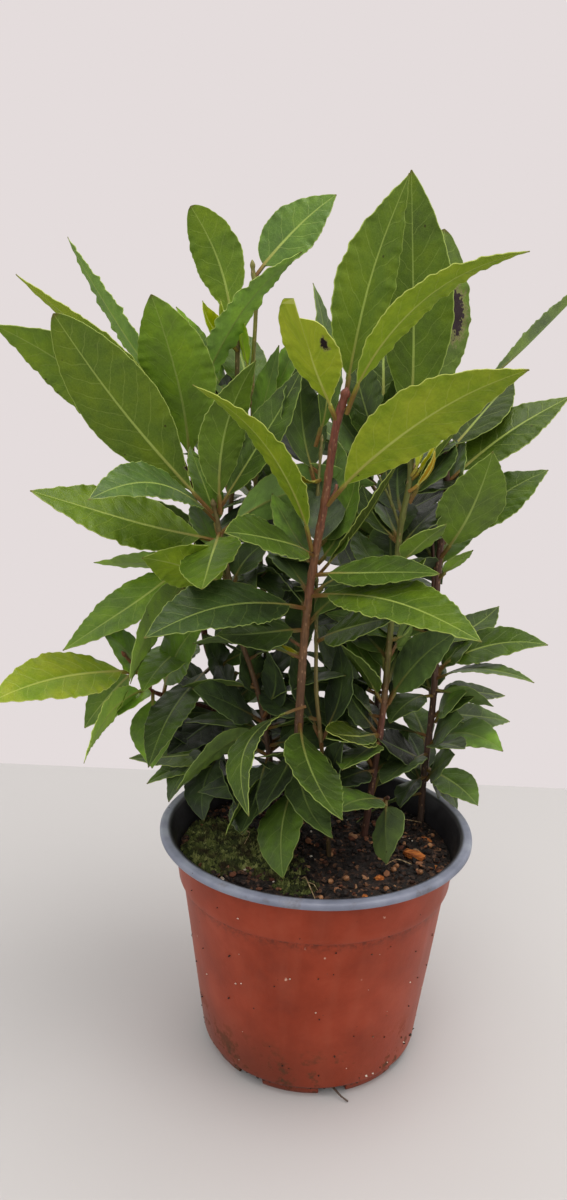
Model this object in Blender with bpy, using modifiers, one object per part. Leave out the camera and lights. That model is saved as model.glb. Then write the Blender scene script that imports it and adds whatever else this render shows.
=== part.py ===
# A young bay laurel in a round nursery pot: thin plastic pot, peat, a moss patch, nine stems,
# a side twig and the plant's main leaves, each of them a solid of its own.
# Units are metres with +Z up. The pot stands on Z = 0 and its axis is the Z axis. -Y is the front.

import bmesh
import bpy
from math import cos, pi, radians, sin
from mathutils import Matrix, Vector, noise

MM = 0.001
GAP = 0.3 * MM

# Pot
POT_HEIGHT = 125.5 * MM
RIM_RADIUS = 85.0 * MM
RIM_WIDTH = 6.5 * MM
RIM_DEPTH = 3.6 * MM
BAND_TOP_RADIUS = 77.4 * MM
BAND_FOOT_RADIUS = 74.6 * MM
BAND_FOOT_HEIGHT = 98.0 * MM
BAND_STEP = 2.0 * MM
FOOT_RADIUS = 57.0 * MM
FOOT_WIDTH = 2.6 * MM
FOOT_HEIGHT = 5.0 * MM
WALL_FOOT_RADIUS = 60.2 * MM
WALL = 1.1 * MM
FLOOR = 1.4 * MM
POT_STEPS = 56
FOOT_GAPS = 8
FOOT_GAP_WIDTH = 15.0 * MM
FOOT_GAP_TURN = -76.0
DRAIN_HOLES = 8
DRAIN_RADIUS = 4.0 * MM
DRAIN_CIRCLE = 32.0 * MM

# Peat, moss and bark
SOIL_TOP = 112.0 * MM
SOIL_DIPS = 1.2 * MM
PLANTING_DEPTH = 9.0 * MM
MOSS_PLACE = (-46.0 * MM, -12.0 * MM)
MOSS_RADIUS = 28.0 * MM
MOSS_HEIGHT = 5.5 * MM
CHIP_PLACE = (54.0 * MM, -10.0 * MM)
CHIP_SIZE = (12.0 * MM, 5.5 * MM, 2.6 * MM)
CHIP_TURN = -38.0

# Leaves
LEAF_THICKNESS = 0.8 * MM
PETIOLE_SHARE = 0.1
PETIOLE_WIDTH = 1.8 * MM
TIP_WIDTH = 0.6 * MM
LEAF_STATIONS = 8
YOUNG_ABOVE = 300
GROWN_ABOVE = 195

# Each stem has its radii at foot and top, its bark colour, its route, and its leaves, in mm.
# A leaf row holds the height where it leaves the stem, the turn of its chord round Z from +X and
# the chord's rise in degrees, its length and width, its roll in degrees, and how far the midrib
# bows out of the blade and aside in it, in hundredths of its length.
PLANT = {
    "front": {
        "radii": (2.4, 1.8),
        "bark": (0.26, 0.075, 0.035),
        "route": [
            (-12, -9, 112), (-11, -12, 166), (-10, -15, 206), (-9, -17, 233), (-7, -20, 260),
            (-4, -24, 284), (-1, -28, 305), (1, -31, 325), (3, -35, 341), (6, -38, 353),
        ],
        "leaves": [
            (353, 351, 75, 98, 38, -36, 2, -2),
            (345, 240, 53, 57, 30, -8, -1, -1),
            (350, 338, 39, 101, 24, -15, 7, -3),
            (306, 333, 33, 109, 32, -43, 2, -2),
            (283, 214, 49, 97, 22, 4, 9, 4),
            (279, 239, 14, 73, 32, -33, 3, -2),
            (251, 224, -1, 94, 38, -22, 6, -5),
            (258, 314, -1, 103, 36, 18, 5, 4),
            (197, 251, -29, 70, 24, 36, 19, -10),
            (188, 289, -18, 71, 32, -25, -5, -4),
            (155, 265, -40, 53, 32, 39, 5, -5),
        ],
    },
    "thin": {
        "radii": (1.3, 1.0),
        "bark": (0.20, 0.15, 0.06),
        "route": [
            (8, -13, 112), (4, -12, 155), (1, -11, 180), (-2, -10, 204), (-3, -7, 231), (-4, -2, 259),
        ],
        "leaves": [
            (231, 311, 22, 61, 28, 38, 3, 2),
        ],
    },
    "middle": {
        "radii": (2.0, 1.5),
        "bark": (0.19, 0.17, 0.05),
        "route": [
            (28, 13, 112), (31, 12, 145), (34, 10, 178), (35, 8, 198), (36, 5, 234),
            (37, 2, 265), (38, 0, 290), (41, -3, 314), (40, -5, 334),
        ],
        "leaves": [
            (330, 206, 87, 127, 38, 26, 0, 0),
            (325, 67, 71, 121, 34, -128, -2, 3),
            (195, 337, 51, 57, 28, 52, 5, 4),
        ],
    },
    "right": {
        "radii": (2.0, 1.5),
        "bark": (0.09, 0.03, 0.03),
        "route": [
            (62, 35, 112), (62, 34, 137), (64, 31, 180), (64, 29, 210), (62, 27, 250), (62, 24, 280),
            (63, 22, 300), (62, 20, 318), (61, 20, 334), (67, 28, 350), (76, 40, 366),
        ],
        "leaves": [
            (274, 297, 57, 66, 36, -12, -2, 3),
            (280, 21, 30, 70, 32, 29, 1, 1),
            (313, 17, 34, 79, 28, 34, -1, -1),
            (360, 25, 40, 116, 18, -47, -2, 1),
            (208, 339, 20, 61, 28, 25, 9, 5),
            (165, 321, 7, 45, 26, 20, 9, 6),
            (146, 316, -15, 38, 28, 12, 6, 6),
            (262, 62, 28, 72, 30, 0, 8, 0),
        ],
    },
    "left": {
        "radii": (1.6, 1.3),
        "bark": (0.16, 0.08, 0.04),
        "route": [
            (-23, 18, 112), (-23, 18, 128), (-28, 18, 159), (-33, 17, 187), (-39, 14, 209),
            (-44, 11, 225), (-49, 8, 252), (-54, 5, 277), (-58, 3, 296),
        ],
        "leaves": [
            (296, 193, 51, 120, 44, 72, -1, -3),
            (295, 328, 74, 78, 28, -16, 6, -6),
            (284, 14, 17, 86, 30, -64, 7, -8),
            (284, 270, -15, 66, 32, 20, 0, 0),
            (292, 238, 10, 88, 30, -34, 11, -8),
            (280, 205, 16, 98, 36, -43, -2, 2),
            (157, 261, -18, 62, 30, 30, -1, 1),
        ],
    },
    "outer_left": {
        "radii": (2.2, 1.5),
        "bark": (0.11, 0.04, 0.03),
        "route": [
            (-48, 44, 112), (-48, 44, 118), (-54, 43, 167), (-61, 44, 194), (-68, 45, 215),
            (-73, 47, 261), (-75, 48, 295), (-76, 47, 312), (-77, 47, 332), (-77, 46, 350),
        ],
        "leaves": [
            (312, 243, 69, 96, 38, 17, 1, 2),
            (345, 344, 54, 101, 24, -19, 7, -4),
            (306, 216, 38, 127, 36, 36, 0, 0),
            (344, 164, 52, 118, 26, -14, -3, 2),
            (263, 223, -27, 94, 30, -17, 0, 0),
            (200, 254, -22, 86, 28, 13, 4, -4),
        ],
    },
    "back_left": {
        "radii": (1.9, 1.3),
        "bark": (0.13, 0.06, 0.04),
        "route": [
            (-42, 57, 112), (-42, 57, 118), (-52, 57, 165), (-57, 57, 192), (-59, 57, 215),
            (-57, 58, 260), (-54, 58, 323), (-53, 58, 360), (-53, 59, 386),
        ],
        "leaves": [
            (386, 169, 69, 75, 34, 79, 2, 5),
            (300, 140, 48, 72, 30, 0, 8, 0),
        ],
    },
    "back": {
        "radii": (1.6, 1.1),
        "bark": (0.20, 0.14, 0.06),
        "route": [
            (-27, 50, 112), (-27, 50, 116), (-31, 51, 177), (-35, 52, 238), (-38, 53, 270),
            (-42, 54, 318), (-44, 55, 360), (-43, 56, 400), (-45, 57, 421),
        ],
        "leaves": [
            (419, 9, 44, 60, 28, 61, 1, 4),
        ],
    },
    "far": {
        "radii": (1.8, 1.2),
        "bark": (0.16, 0.09, 0.04),
        "route": [
            (34, 60, 112), (35, 64, 170), (34, 65, 230), (32, 63, 290), (30, 60, 345),
        ],
        "leaves": [
            (342, 95, 66, 84, 32, 0, 4, 0),
            (320, 35, 38, 80, 32, 10, 6, 2),
            (300, 150, 38, 80, 30, -10, 6, -2),
            (262, 78, 40, 40, 26, 0, 8, 2),
        ],
    },
    "left_twig": {
        "radii": (1.3, 0.9),
        "bark": (0.16, 0.06, 0.04),
        "route": [
            (-58, 41, 172), (-76, 34, 180), (-94, 22, 189), (-98, 10, 202), (-104, -2, 216),
        ],
        "leaves": [
            (207, 232, 3, 88, 30, -24, 4, -3),
            (187, 318, 54, 62, 28, 84, 4, 5),
            (195, 257, -12, 76, 22, 76, 8, 4),
        ],
    },
}


def clear_scene():
    for thing in list(bpy.data.objects):
        bpy.data.objects.remove(thing, do_unlink=True)


def new_collection(name):
    collection = bpy.data.collections.new(name)
    bpy.context.scene.collection.children.link(collection)
    return collection


def new_material(name, colour, roughness):
    material = bpy.data.materials.new(name)
    material.use_nodes = True
    shader = material.node_tree.nodes["Principled BSDF"]
    shader.inputs["Base Color"].default_value = (*colour, 1.0)
    shader.inputs["Roughness"].default_value = roughness
    shader.inputs["Metallic"].default_value = 0.0
    return material


def new_object(name, data, collection, material=None):
    thing = bpy.data.objects.new(name, data)
    collection.objects.link(thing)
    if material is not None:
        data.materials.append(material)
    return thing


def mesh_from(name, shape):
    mesh = bpy.data.meshes.new(name)
    shape.to_mesh(mesh)
    shape.free()
    return mesh


def turned(name, profile, collection, material):
    """A solid of revolution. The profile starts and ends on the axis and runs down its outer side."""
    mesh = bpy.data.meshes.new(name)
    edges = [(i, i + 1) for i in range(len(profile) - 1)]
    mesh.from_pydata([(radius, 0.0, height) for radius, height in profile], edges, [])
    thing = new_object(name, mesh, collection, material)
    screw = thing.modifiers.new("turn", "SCREW")
    screw.steps = POT_STEPS
    screw.render_steps = POT_STEPS
    screw.use_merge_vertices = True
    screw.merge_threshold = 0.01 * MM
    screw.use_smooth_shade = True
    return thing


def as_mesh(thing, collection, material):
    """The evaluated shape as a plain mesh object in place of the first one."""
    bpy.context.view_layer.update()
    evaluated = thing.evaluated_get(bpy.context.evaluated_depsgraph_get())
    mesh = bpy.data.meshes.new_from_object(evaluated)
    name = thing.name
    bpy.data.objects.remove(thing, do_unlink=True)
    mesh.materials.clear()
    return new_object(name, mesh, collection, material)


def hide_cutter(cutter):
    cutter.hide_render = True
    cutter.display_type = "WIRE"


def cut(thing, cutter):
    hide_cutter(cutter)
    boolean = thing.modifiers.new("cut", "BOOLEAN")
    boolean.operation = "DIFFERENCE"
    boolean.solver = "EXACT"
    boolean.object = cutter


def wall_profile(inset):
    """The pot's outer side below the rim, from top to bottom, moved in by the inset."""
    return [
        (BAND_TOP_RADIUS - inset, POT_HEIGHT - 2 * RIM_DEPTH),
        (BAND_FOOT_RADIUS - inset, BAND_FOOT_HEIGHT + 0.3 * BAND_STEP),
        (BAND_FOOT_RADIUS - BAND_STEP - inset, BAND_FOOT_HEIGHT - 0.5 * BAND_STEP),
        (WALL_FOOT_RADIUS - inset, FOOT_HEIGHT + FLOOR),
    ]


def make_pot(collection, cutters):
    rim_inside = RIM_RADIUS - RIM_WIDTH
    edge = 0.9 * MM
    floor_top = FOOT_HEIGHT + FLOOR
    inner = wall_profile(WALL)
    inner[-1] = (inner[-1][0], floor_top + 2.0 * MM)
    profile = [(0.0, floor_top), (inner[-1][0] - 2.0 * MM, floor_top)]
    profile += reversed(inner)
    profile += [
        (rim_inside, POT_HEIGHT - 1.2 * MM),
        (rim_inside + edge, POT_HEIGHT - 0.2 * MM),
        (RIM_RADIUS - edge, POT_HEIGHT),
        (RIM_RADIUS, POT_HEIGHT - edge),
        (RIM_RADIUS, POT_HEIGHT - RIM_DEPTH + edge),
        (RIM_RADIUS - edge, POT_HEIGHT - RIM_DEPTH),
        (BAND_TOP_RADIUS + 2.0 * MM, POT_HEIGHT - RIM_DEPTH),
        (BAND_TOP_RADIUS + 0.4 * MM, POT_HEIGHT - RIM_DEPTH - 1.2 * MM),
    ]
    profile += wall_profile(0.0)
    profile += [
        (FOOT_RADIUS + 1.4 * MM, FOOT_HEIGHT),
        (FOOT_RADIUS, 0.4 * MM),
        (FOOT_RADIUS - 0.4 * MM, 0.0),
        (FOOT_RADIUS - FOOT_WIDTH, 0.0),
        (FOOT_RADIUS - FOOT_WIDTH, FOOT_HEIGHT),
        (0.0, FOOT_HEIGHT),
    ]
    clay_red = new_material("clay_red_plastic", (0.33, 0.075, 0.036), 0.5)
    pot = as_mesh(turned("pot", profile, collection, clay_red), collection, clay_red)

    gaps = bmesh.new()
    for i in range(FOOT_GAPS):
        turn = Matrix.Rotation(radians(FOOT_GAP_TURN) + 2 * pi * i / FOOT_GAPS, 4, "Z")
        place = Matrix.Translation((FOOT_RADIUS, 0.0, 0.4 * FOOT_HEIGHT))
        size = Matrix.Diagonal((4 * FOOT_WIDTH, FOOT_GAP_WIDTH, 0.9 * FOOT_HEIGHT, 1.0))
        bmesh.ops.create_cube(gaps, size=1.0, matrix=turn @ place @ size)
    foot_cutter = new_object("foot_gap_cutter", mesh_from("foot_gap_cutter", gaps), cutters)
    cut(pot, foot_cutter)

    holes = bmesh.new()
    for i in range(DRAIN_HOLES):
        turn = Matrix.Rotation(2 * pi * i / DRAIN_HOLES, 4, "Z")
        place = turn @ Matrix.Translation((DRAIN_CIRCLE, 0.0, FOOT_HEIGHT))
        bmesh.ops.create_cone(
            holes, cap_ends=True, segments=12, radius1=DRAIN_RADIUS, radius2=DRAIN_RADIUS,
            depth=4 * FLOOR, matrix=place,
        )
    drain_cutter = new_object("drain_hole_cutter", mesh_from("drain_hole_cutter", holes), cutters)
    cut(pot, drain_cutter)


def near(point, place, distance):
    return (Vector(point[:2]) - Vector(place)).length < distance


def is_planted(stem):
    """True for a stem that starts at the soil, false for a twig that starts on a stem."""
    return stem["route"][0][2] * MM <= SOIL_TOP


def make_soil(collection, cutters):
    wall = wall_profile(WALL + GAP)
    floor = FOOT_HEIGHT + FLOOR + GAP
    slope = (SOIL_TOP - wall[1][1]) / (wall[0][1] - wall[1][1])
    edge_radius = wall[1][0] + slope * (wall[0][0] - wall[1][0])
    profile = [(edge_radius * share, SOIL_TOP) for share in (0.0, 0.18, 0.36, 0.54, 0.72, 0.88)]
    profile += [(edge_radius - 0.1 * MM, SOIL_TOP - 0.6 * MM), wall[1], wall[2]]
    profile += [(wall[3][0], floor + 2.0 * MM), (wall[3][0] - 2.0 * MM, floor), (0.0, floor)]
    peat = new_material("peat", (0.018, 0.011, 0.008), 0.95)
    soil = as_mesh(turned("potting_soil", profile, collection, peat), collection, peat)
    for vertex in soil.data.vertices:
        point = vertex.co
        covered = near(point, MOSS_PLACE, MOSS_RADIUS + 3 * MM) or near(point, CHIP_PLACE, 10 * MM)
        if point.z > SOIL_TOP - 0.1 * MM and not covered:
            point.z -= SOIL_DIPS * abs(noise.noise(point * 60.0))

    sockets = bmesh.new()
    length = PLANTING_DEPTH + GAP + 2 * MM
    for stem in filter(is_planted, PLANT.values()):
        x, y, z = (value * MM for value in stem["route"][0])
        radius = stem["radii"][0] * MM + GAP
        place = Matrix.Translation((x, y, z + 2 * MM - length / 2))
        bmesh.ops.create_cone(
            sockets, cap_ends=True, segments=14, radius1=radius, radius2=radius,
            depth=length, matrix=place,
        )
    socket_cutter = new_object("stem_socket_cutter", mesh_from("stem_socket_cutter", sockets), cutters)
    cut(soil, socket_cutter)


def make_moss(collection):
    """A low cushion: a sphere whose lower half is pressed flat and whose edge is uneven."""
    shape = bmesh.new()
    bmesh.ops.create_uvsphere(shape, u_segments=20, v_segments=10, radius=1.0)
    for vertex in shape.verts:
        point = vertex.co
        uneven = 1.0 + 0.1 * noise.noise(Vector((point.x, point.y, 0.0)) * 2.2)
        lumps = 1.0 + 0.25 * noise.noise(point * 3.0)
        height = max(point.z, 0.0) ** 0.7 * MOSS_HEIGHT * lumps
        vertex.co = (point.x * MOSS_RADIUS * uneven * 0.95, point.y * MOSS_RADIUS * uneven * 0.95, height)
    mesh = mesh_from("moss_patch", shape)
    mesh.shade_smooth()
    moss = new_object("moss_patch", mesh, collection, new_material("moss", (0.06, 0.07, 0.02), 0.95))
    moss.location = (*MOSS_PLACE, SOIL_TOP + GAP)


def make_chip(collection):
    shape = bmesh.new()
    bmesh.ops.create_cube(shape, size=1.0, matrix=Matrix.Diagonal((*CHIP_SIZE, 1.0)))
    chip = new_object(
        "bark_chip", mesh_from("bark_chip", shape), collection, new_material("bark", (0.30, 0.10, 0.02), 0.9),
    )
    bevel = chip.modifiers.new("worn edges", "BEVEL")
    bevel.width = 0.6 * MM
    bevel.segments = 1
    chip.location = (*CHIP_PLACE, SOIL_TOP + GAP + 0.5 * CHIP_SIZE[2])
    chip.rotation_euler = (0.0, 0.0, radians(CHIP_TURN))


def planted_route(stem):
    """The stem's route in metres. A planted stem also runs straight down into the soil."""
    route = [Vector(point) * MM for point in stem["route"]]
    if is_planted(stem):
        route.insert(0, route[0] - Vector((0.0, 0.0, PLANTING_DEPTH)))
    return route


def radius_along(stem, share):
    foot, top = stem["radii"]
    return (foot + (top - foot) * share) * MM


def make_stem(name, stem, collection):
    route = planted_route(stem)
    lengths = [0.0]
    for a, b in zip(route, route[1:]):
        lengths.append(lengths[-1] + (b - a).length)
    curve = bpy.data.curves.new(name, "CURVE")
    curve.dimensions = "3D"
    curve.bevel_depth = 1.0 * MM
    curve.bevel_resolution = 2
    curve.use_fill_caps = True
    spline = curve.splines.new("POLY")
    spline.points.add(len(route) - 1)
    for point, place, length in zip(spline.points, route, lengths):
        point.co = (*place, 1.0)
        point.radius = radius_along(stem, length / lengths[-1]) / curve.bevel_depth
    new_object(name, curve, collection, new_material(name + "_bark", stem["bark"], 0.6))


def stem_at(stem, height):
    """Centre, direction and radius of the stem where it passes this height."""
    route = planted_route(stem)
    lengths = [0.0]
    for a, b in zip(route, route[1:]):
        lengths.append(lengths[-1] + (b - a).length)
    last = len(route) - 2
    i = next((k for k in range(last + 1) if route[k + 1].z >= height), last)
    step = route[i + 1] - route[i]
    share = min(max((height - route[i].z) / step.z, 0.0), 1.0)
    radius = radius_along(stem, (lengths[i] + share * step.length) / lengths[-1])
    return route[i] + step * share, step.normalized(), radius


def blade_half_width(share, width):
    """Half the blade's width: an ellipse-like outline, widest at two fifths, pointed at its tip."""
    if share <= 0.0:
        return PETIOLE_WIDTH / 2
    return max(0.5 * width * sin(pi * share ** 0.78) ** 0.8, TIP_WIDTH / 2)


def leaf_mesh(name, length, width, arch, sickle):
    """The leaf along its own X axis, face up: a grid bent along the midrib."""
    shape = bmesh.new()
    bmesh.ops.create_grid(shape, x_segments=LEAF_STATIONS, y_segments=2, size=1.0)
    for vertex in shape.verts:
        along = (vertex.co.x + 1.0) / 2.0
        across = vertex.co.y
        bow = 4.0 * along * (1.0 - along)
        slope = 4.0 * (1.0 - 2.0 * along)
        midrib = Vector((length * along, length * sickle * bow, length * arch * bow))
        ahead = Vector((1.0, sickle * slope, arch * slope)).normalized()
        normal = ahead.cross(Vector((0.0, 1.0, 0.0))).normalized()
        aside = normal.cross(ahead)
        half = blade_half_width((along - PETIOLE_SHARE) / (1.0 - PETIOLE_SHARE), width)
        vertex.co = midrib + aside * (across * half)
    mesh = mesh_from(name, shape)
    mesh.shade_smooth()
    return mesh


def make_leaf(name, stem, row, collection, material):
    height, turn, rise, length, width, roll, arch, sickle = row
    leaf = new_object(
        name, leaf_mesh(name, length * MM, width * MM, arch / 100, sickle / 100), collection, material,
    )
    leaf.rotation_euler = (radians(roll), -radians(rise), radians(turn))
    axes = leaf.rotation_euler.to_matrix()
    ahead, aside, face = axes.col[0], axes.col[1], axes.col[2]
    centre, along_stem, radius = stem_at(stem, height * MM)
    outward = (ahead - along_stem * ahead.dot(along_stem)).normalized()
    clear = abs(aside.dot(outward)) * PETIOLE_WIDTH / 2 + abs(face.dot(outward)) * LEAF_THICKNESS / 2
    leaf.location = centre + outward * (radius + GAP + clear)
    solidify = leaf.modifiers.new("thickness", "SOLIDIFY")
    solidify.thickness = LEAF_THICKNESS
    solidify.offset = 0.0


def leaf_materials():
    return {
        "young": new_material("young_leaf", (0.20, 0.28, 0.025), 0.45),
        "grown": new_material("grown_leaf", (0.075, 0.17, 0.03), 0.4),
        "old": new_material("old_leaf", (0.03, 0.075, 0.02), 0.35),
    }


def leaf_age(height):
    if height > YOUNG_ABOVE:
        return "young"
    return "grown" if height > GROWN_ABOVE else "old"


def make_plant(collection):
    greens = leaf_materials()
    for part, stem in PLANT.items():
        make_stem(part if part.endswith("twig") else part + "_stem", stem, collection)
        for number, row in enumerate(stem["leaves"], start=1):
            name = "{}_leaf_{:02d}".format(part, number)
            make_leaf(name, stem, row, collection, greens[leaf_age(row[0])])


clear_scene()
bay_laurel = new_collection("bay_laurel_in_pot")
cutting_shapes = new_collection("cutting_shapes")
make_pot(bay_laurel, cutting_shapes)
make_soil(bay_laurel, cutting_shapes)
make_moss(bay_laurel)
make_chip(bay_laurel)
make_plant(bay_laurel)
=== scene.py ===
import random
from math import cos, exp, hypot, log, pi, radians, sin

import bmesh
import bpy
import numpy as np
from mathutils import Euler, Matrix, Vector, noise


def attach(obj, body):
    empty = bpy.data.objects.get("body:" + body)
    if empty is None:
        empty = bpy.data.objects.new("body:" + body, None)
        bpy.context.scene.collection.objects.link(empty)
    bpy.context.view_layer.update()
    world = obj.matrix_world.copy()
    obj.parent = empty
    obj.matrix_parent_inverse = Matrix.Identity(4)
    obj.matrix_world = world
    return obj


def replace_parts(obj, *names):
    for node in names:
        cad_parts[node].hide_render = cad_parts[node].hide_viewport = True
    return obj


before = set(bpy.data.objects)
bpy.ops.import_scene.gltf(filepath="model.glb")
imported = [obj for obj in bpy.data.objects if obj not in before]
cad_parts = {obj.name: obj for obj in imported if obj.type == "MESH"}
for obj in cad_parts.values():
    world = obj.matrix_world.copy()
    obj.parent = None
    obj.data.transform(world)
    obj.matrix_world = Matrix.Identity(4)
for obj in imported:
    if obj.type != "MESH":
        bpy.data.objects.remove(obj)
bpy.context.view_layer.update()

# Pot
# A nursery pot, injection moulded in thin polypropylene: clay red outside, slate grey inside and
# on its wide flat rim. Its wall tapers, steps in below the upper band, and stands on a foot ring
# that is broken by drainage gaps. It has stood outdoors, so its foot is dirty, and painted shade
# darkens its foot and the band under the step.

MM = 0.001
POT_SEGMENTS = 128
DRAIN_COUNT = 8
GAP_RING = 57
GAP_SIZE = (11 * MM, 15 * MM, 5 * MM)
HOLE_RING = 32
RIM_UNDERSIDE = 121.75 * MM
POT_PROFILE = (
    (53.9, 5.0), (54.1, 1.0), (54.6, 0.1), (55.0, 0.0), (56.3, 0.0), (56.9, 0.4), (57.5, 2.6), (58.0, 4.3),
    (58.3, 4.9), (59.4, 5.3), (60.1, 6.0), (60.4, 7.2), (61.1, 12), (62.7, 24), (64.7, 39), (66.8, 54),
    (68.8, 69), (70.8, 84), (72.0, 93), (72.4, 96.2), (72.6, 97.0), (73.3, 97.5), (74.3, 97.9), (74.6, 98.7),
    (75.0, 102), (75.8, 108), (76.6, 114), (77.1, 118), (77.5, 119.6), (78.6, 120.9), (80.5, 121.6),
    (83.4, 121.9), (84.5, 122.1), (84.95, 122.7), (85.0, 123.6), (84.9, 124.6), (84.4, 125.2), (83.4, 125.5),
    (81.2, 125.45), (79.7, 125.3), (78.9, 124.8), (78.4, 123.8), (77.6, 121.5), (76.1, 118), (75.4, 113),
    (74.0, 103), (73.3, 98.9), (71.3, 96.0), (69.4, 83), (65.2, 52), (60.9, 21), (59.6, 9), (57.6, 6.6),
)


def paint(colour):
    """A colour given as sRGB hex, as the linear colour that the shader takes."""
    shares = [int(colour[i:i + 2], 16) / 255 for i in (1, 3, 5)]
    return (*[c / 12.92 if c <= 0.04045 else ((c + 0.055) / 1.055) ** 2.4 for c in shares], 1.0)


def fill(tree, node, values):
    """Fills a node's inputs, by name or else in order, each with a plain value, with a socket that
    feeds it, or with a node, whose first live output feeds it."""
    sockets = [socket for socket in node.inputs if socket.enabled]
    if isinstance(values, dict):
        sockets = [node.inputs[name] for name in values]
        values = values.values()
    for socket, value in zip(sockets, values):
        if isinstance(value, bpy.types.Node):
            value = next(output for output in value.outputs if output.enabled)
        if isinstance(value, bpy.types.NodeSocket):
            tree.links.new(value, socket)
        else:
            socket.default_value = value


def add(tree, kind, *values, stops=None, **settings):
    """Adds one node with its settings, and fills its inputs; stops are a ramp's places and colours."""
    made = tree.nodes.new("ShaderNode" + kind)
    for name, value in settings.items():
        setattr(made, name, value)
    fill(tree, made, values[0] if values and isinstance(values[0], dict) else values)
    if stops:
        ramp = made.color_ramp.elements
        while len(ramp) < len(stops):
            ramp.new(0.5)
        for element, (place, colour) in zip(ramp, stops):
            element.position = place
            element.color = paint(colour)
    return made


def new_finish(name, roughness=0.5, specular=0.5):
    material = bpy.data.materials.new(name)
    material.use_nodes = True
    shader = material.node_tree.nodes["Principled BSDF"]
    shader.inputs["Roughness"].default_value = roughness
    shader.inputs["Specular IOR Level"].default_value = specular
    return material, material.node_tree, shader


def select_only(*things):
    for other in bpy.context.selected_objects:
        other.select_set(False)
    for thing in things:
        thing.select_set(True)
    bpy.context.view_layer.objects.active = things[0]


def pull_rings(name, profile, segments):
    """A round solid: a disc at the first ring, pulled along the profile to the last, in mm."""
    bpy.ops.object.select_all(action="DESELECT")
    radius, height = profile[0]
    bpy.ops.mesh.primitive_circle_add(
        vertices=segments, radius=radius * MM, fill_type="NGON", location=(0, 0, height * MM))
    piece = bpy.context.object
    piece.name = name
    bpy.ops.object.transform_apply(location=True, rotation=False, scale=False)
    bpy.ops.object.mode_set(mode="EDIT")
    for next_radius, next_height in profile[1:]:
        rise = (0, 0, (next_height - height) * MM)
        bpy.ops.mesh.extrude_region_move(TRANSFORM_OT_translate={"value": rise})
        share = next_radius / radius
        bpy.ops.transform.resize(value=(share, share, 1), center_override=(0, 0, next_height * MM))
        radius, height = next_radius, next_height
    bpy.ops.mesh.select_all(action="SELECT")
    bpy.ops.mesh.normals_make_consistent(inside=False)
    bpy.ops.object.mode_set(mode="OBJECT")
    return piece


def cut_away(piece, cutters):
    """Joins the cutters and takes them out of the piece."""
    select_only(*cutters)
    bpy.ops.object.join()
    cutter = bpy.context.object
    select_only(piece)
    difference = piece.modifiers.new("cut", "BOOLEAN")
    difference.operation = "DIFFERENCE"
    difference.solver = "EXACT"
    difference.object = cutter
    bpy.ops.object.modifier_apply(modifier="cut")
    bpy.data.objects.remove(cutter, do_unlink=True)


pot = pull_rings("pot_shell", POT_PROFILE, POT_SEGMENTS)
pot_gaps = []
for k in range(DRAIN_COUNT):
    turn = radians(-76 + 360 / DRAIN_COUNT * k)
    bpy.ops.mesh.primitive_cube_add(
        size=1, location=(GAP_RING * cos(turn) * MM, GAP_RING * sin(turn) * MM, 1.9 * MM),
        rotation=(0, 0, turn), scale=GAP_SIZE)
    pot_gaps.append(bpy.context.object)
    hole = 2 * pi * k / DRAIN_COUNT
    bpy.ops.mesh.primitive_cylinder_add(
        vertices=16, radius=4 * MM, depth=6 * MM,
        location=(HOLE_RING * cos(hole) * MM, HOLE_RING * sin(hole) * MM, 5.6 * MM))
    pot_gaps.append(bpy.context.object)
cut_away(pot, pot_gaps)

# The moulded wall is never quite true: it waves by some tenths of a millimetre.
for vertex in pot.data.vertices:
    place = vertex.co
    reach = hypot(place.x, place.y)
    if reach > 50 * MM and place.z > 6 * MM:
        sway = 0.35 * MM * noise.noise(place * 22)
        place.x += place.x / reach * sway
        place.y += place.y / reach * sway
pot.data.shade_smooth()
pot.data.set_sharp_from_angle(angle=radians(42))


def specks(tree, place, scale, outside, inside, no_share, full_share, channel=0, strength=1.0):
    """How far each place is inside a speck. Specks lie at the middles of cells, with nothing beyond the
    first distance and all within the second, and only in cells that draw a number past the shares."""
    cells = add(tree, "TexVoronoi", place, scale)
    near = add(tree, "MapRange", cells, outside, inside)
    lot = add(tree, "SeparateColor", cells.outputs["Color"])
    chosen = add(tree, "MapRange", lot.outputs[channel], no_share, full_share, 0, strength)
    return add(tree, "Math", near, chosen, operation="MULTIPLY")


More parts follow.
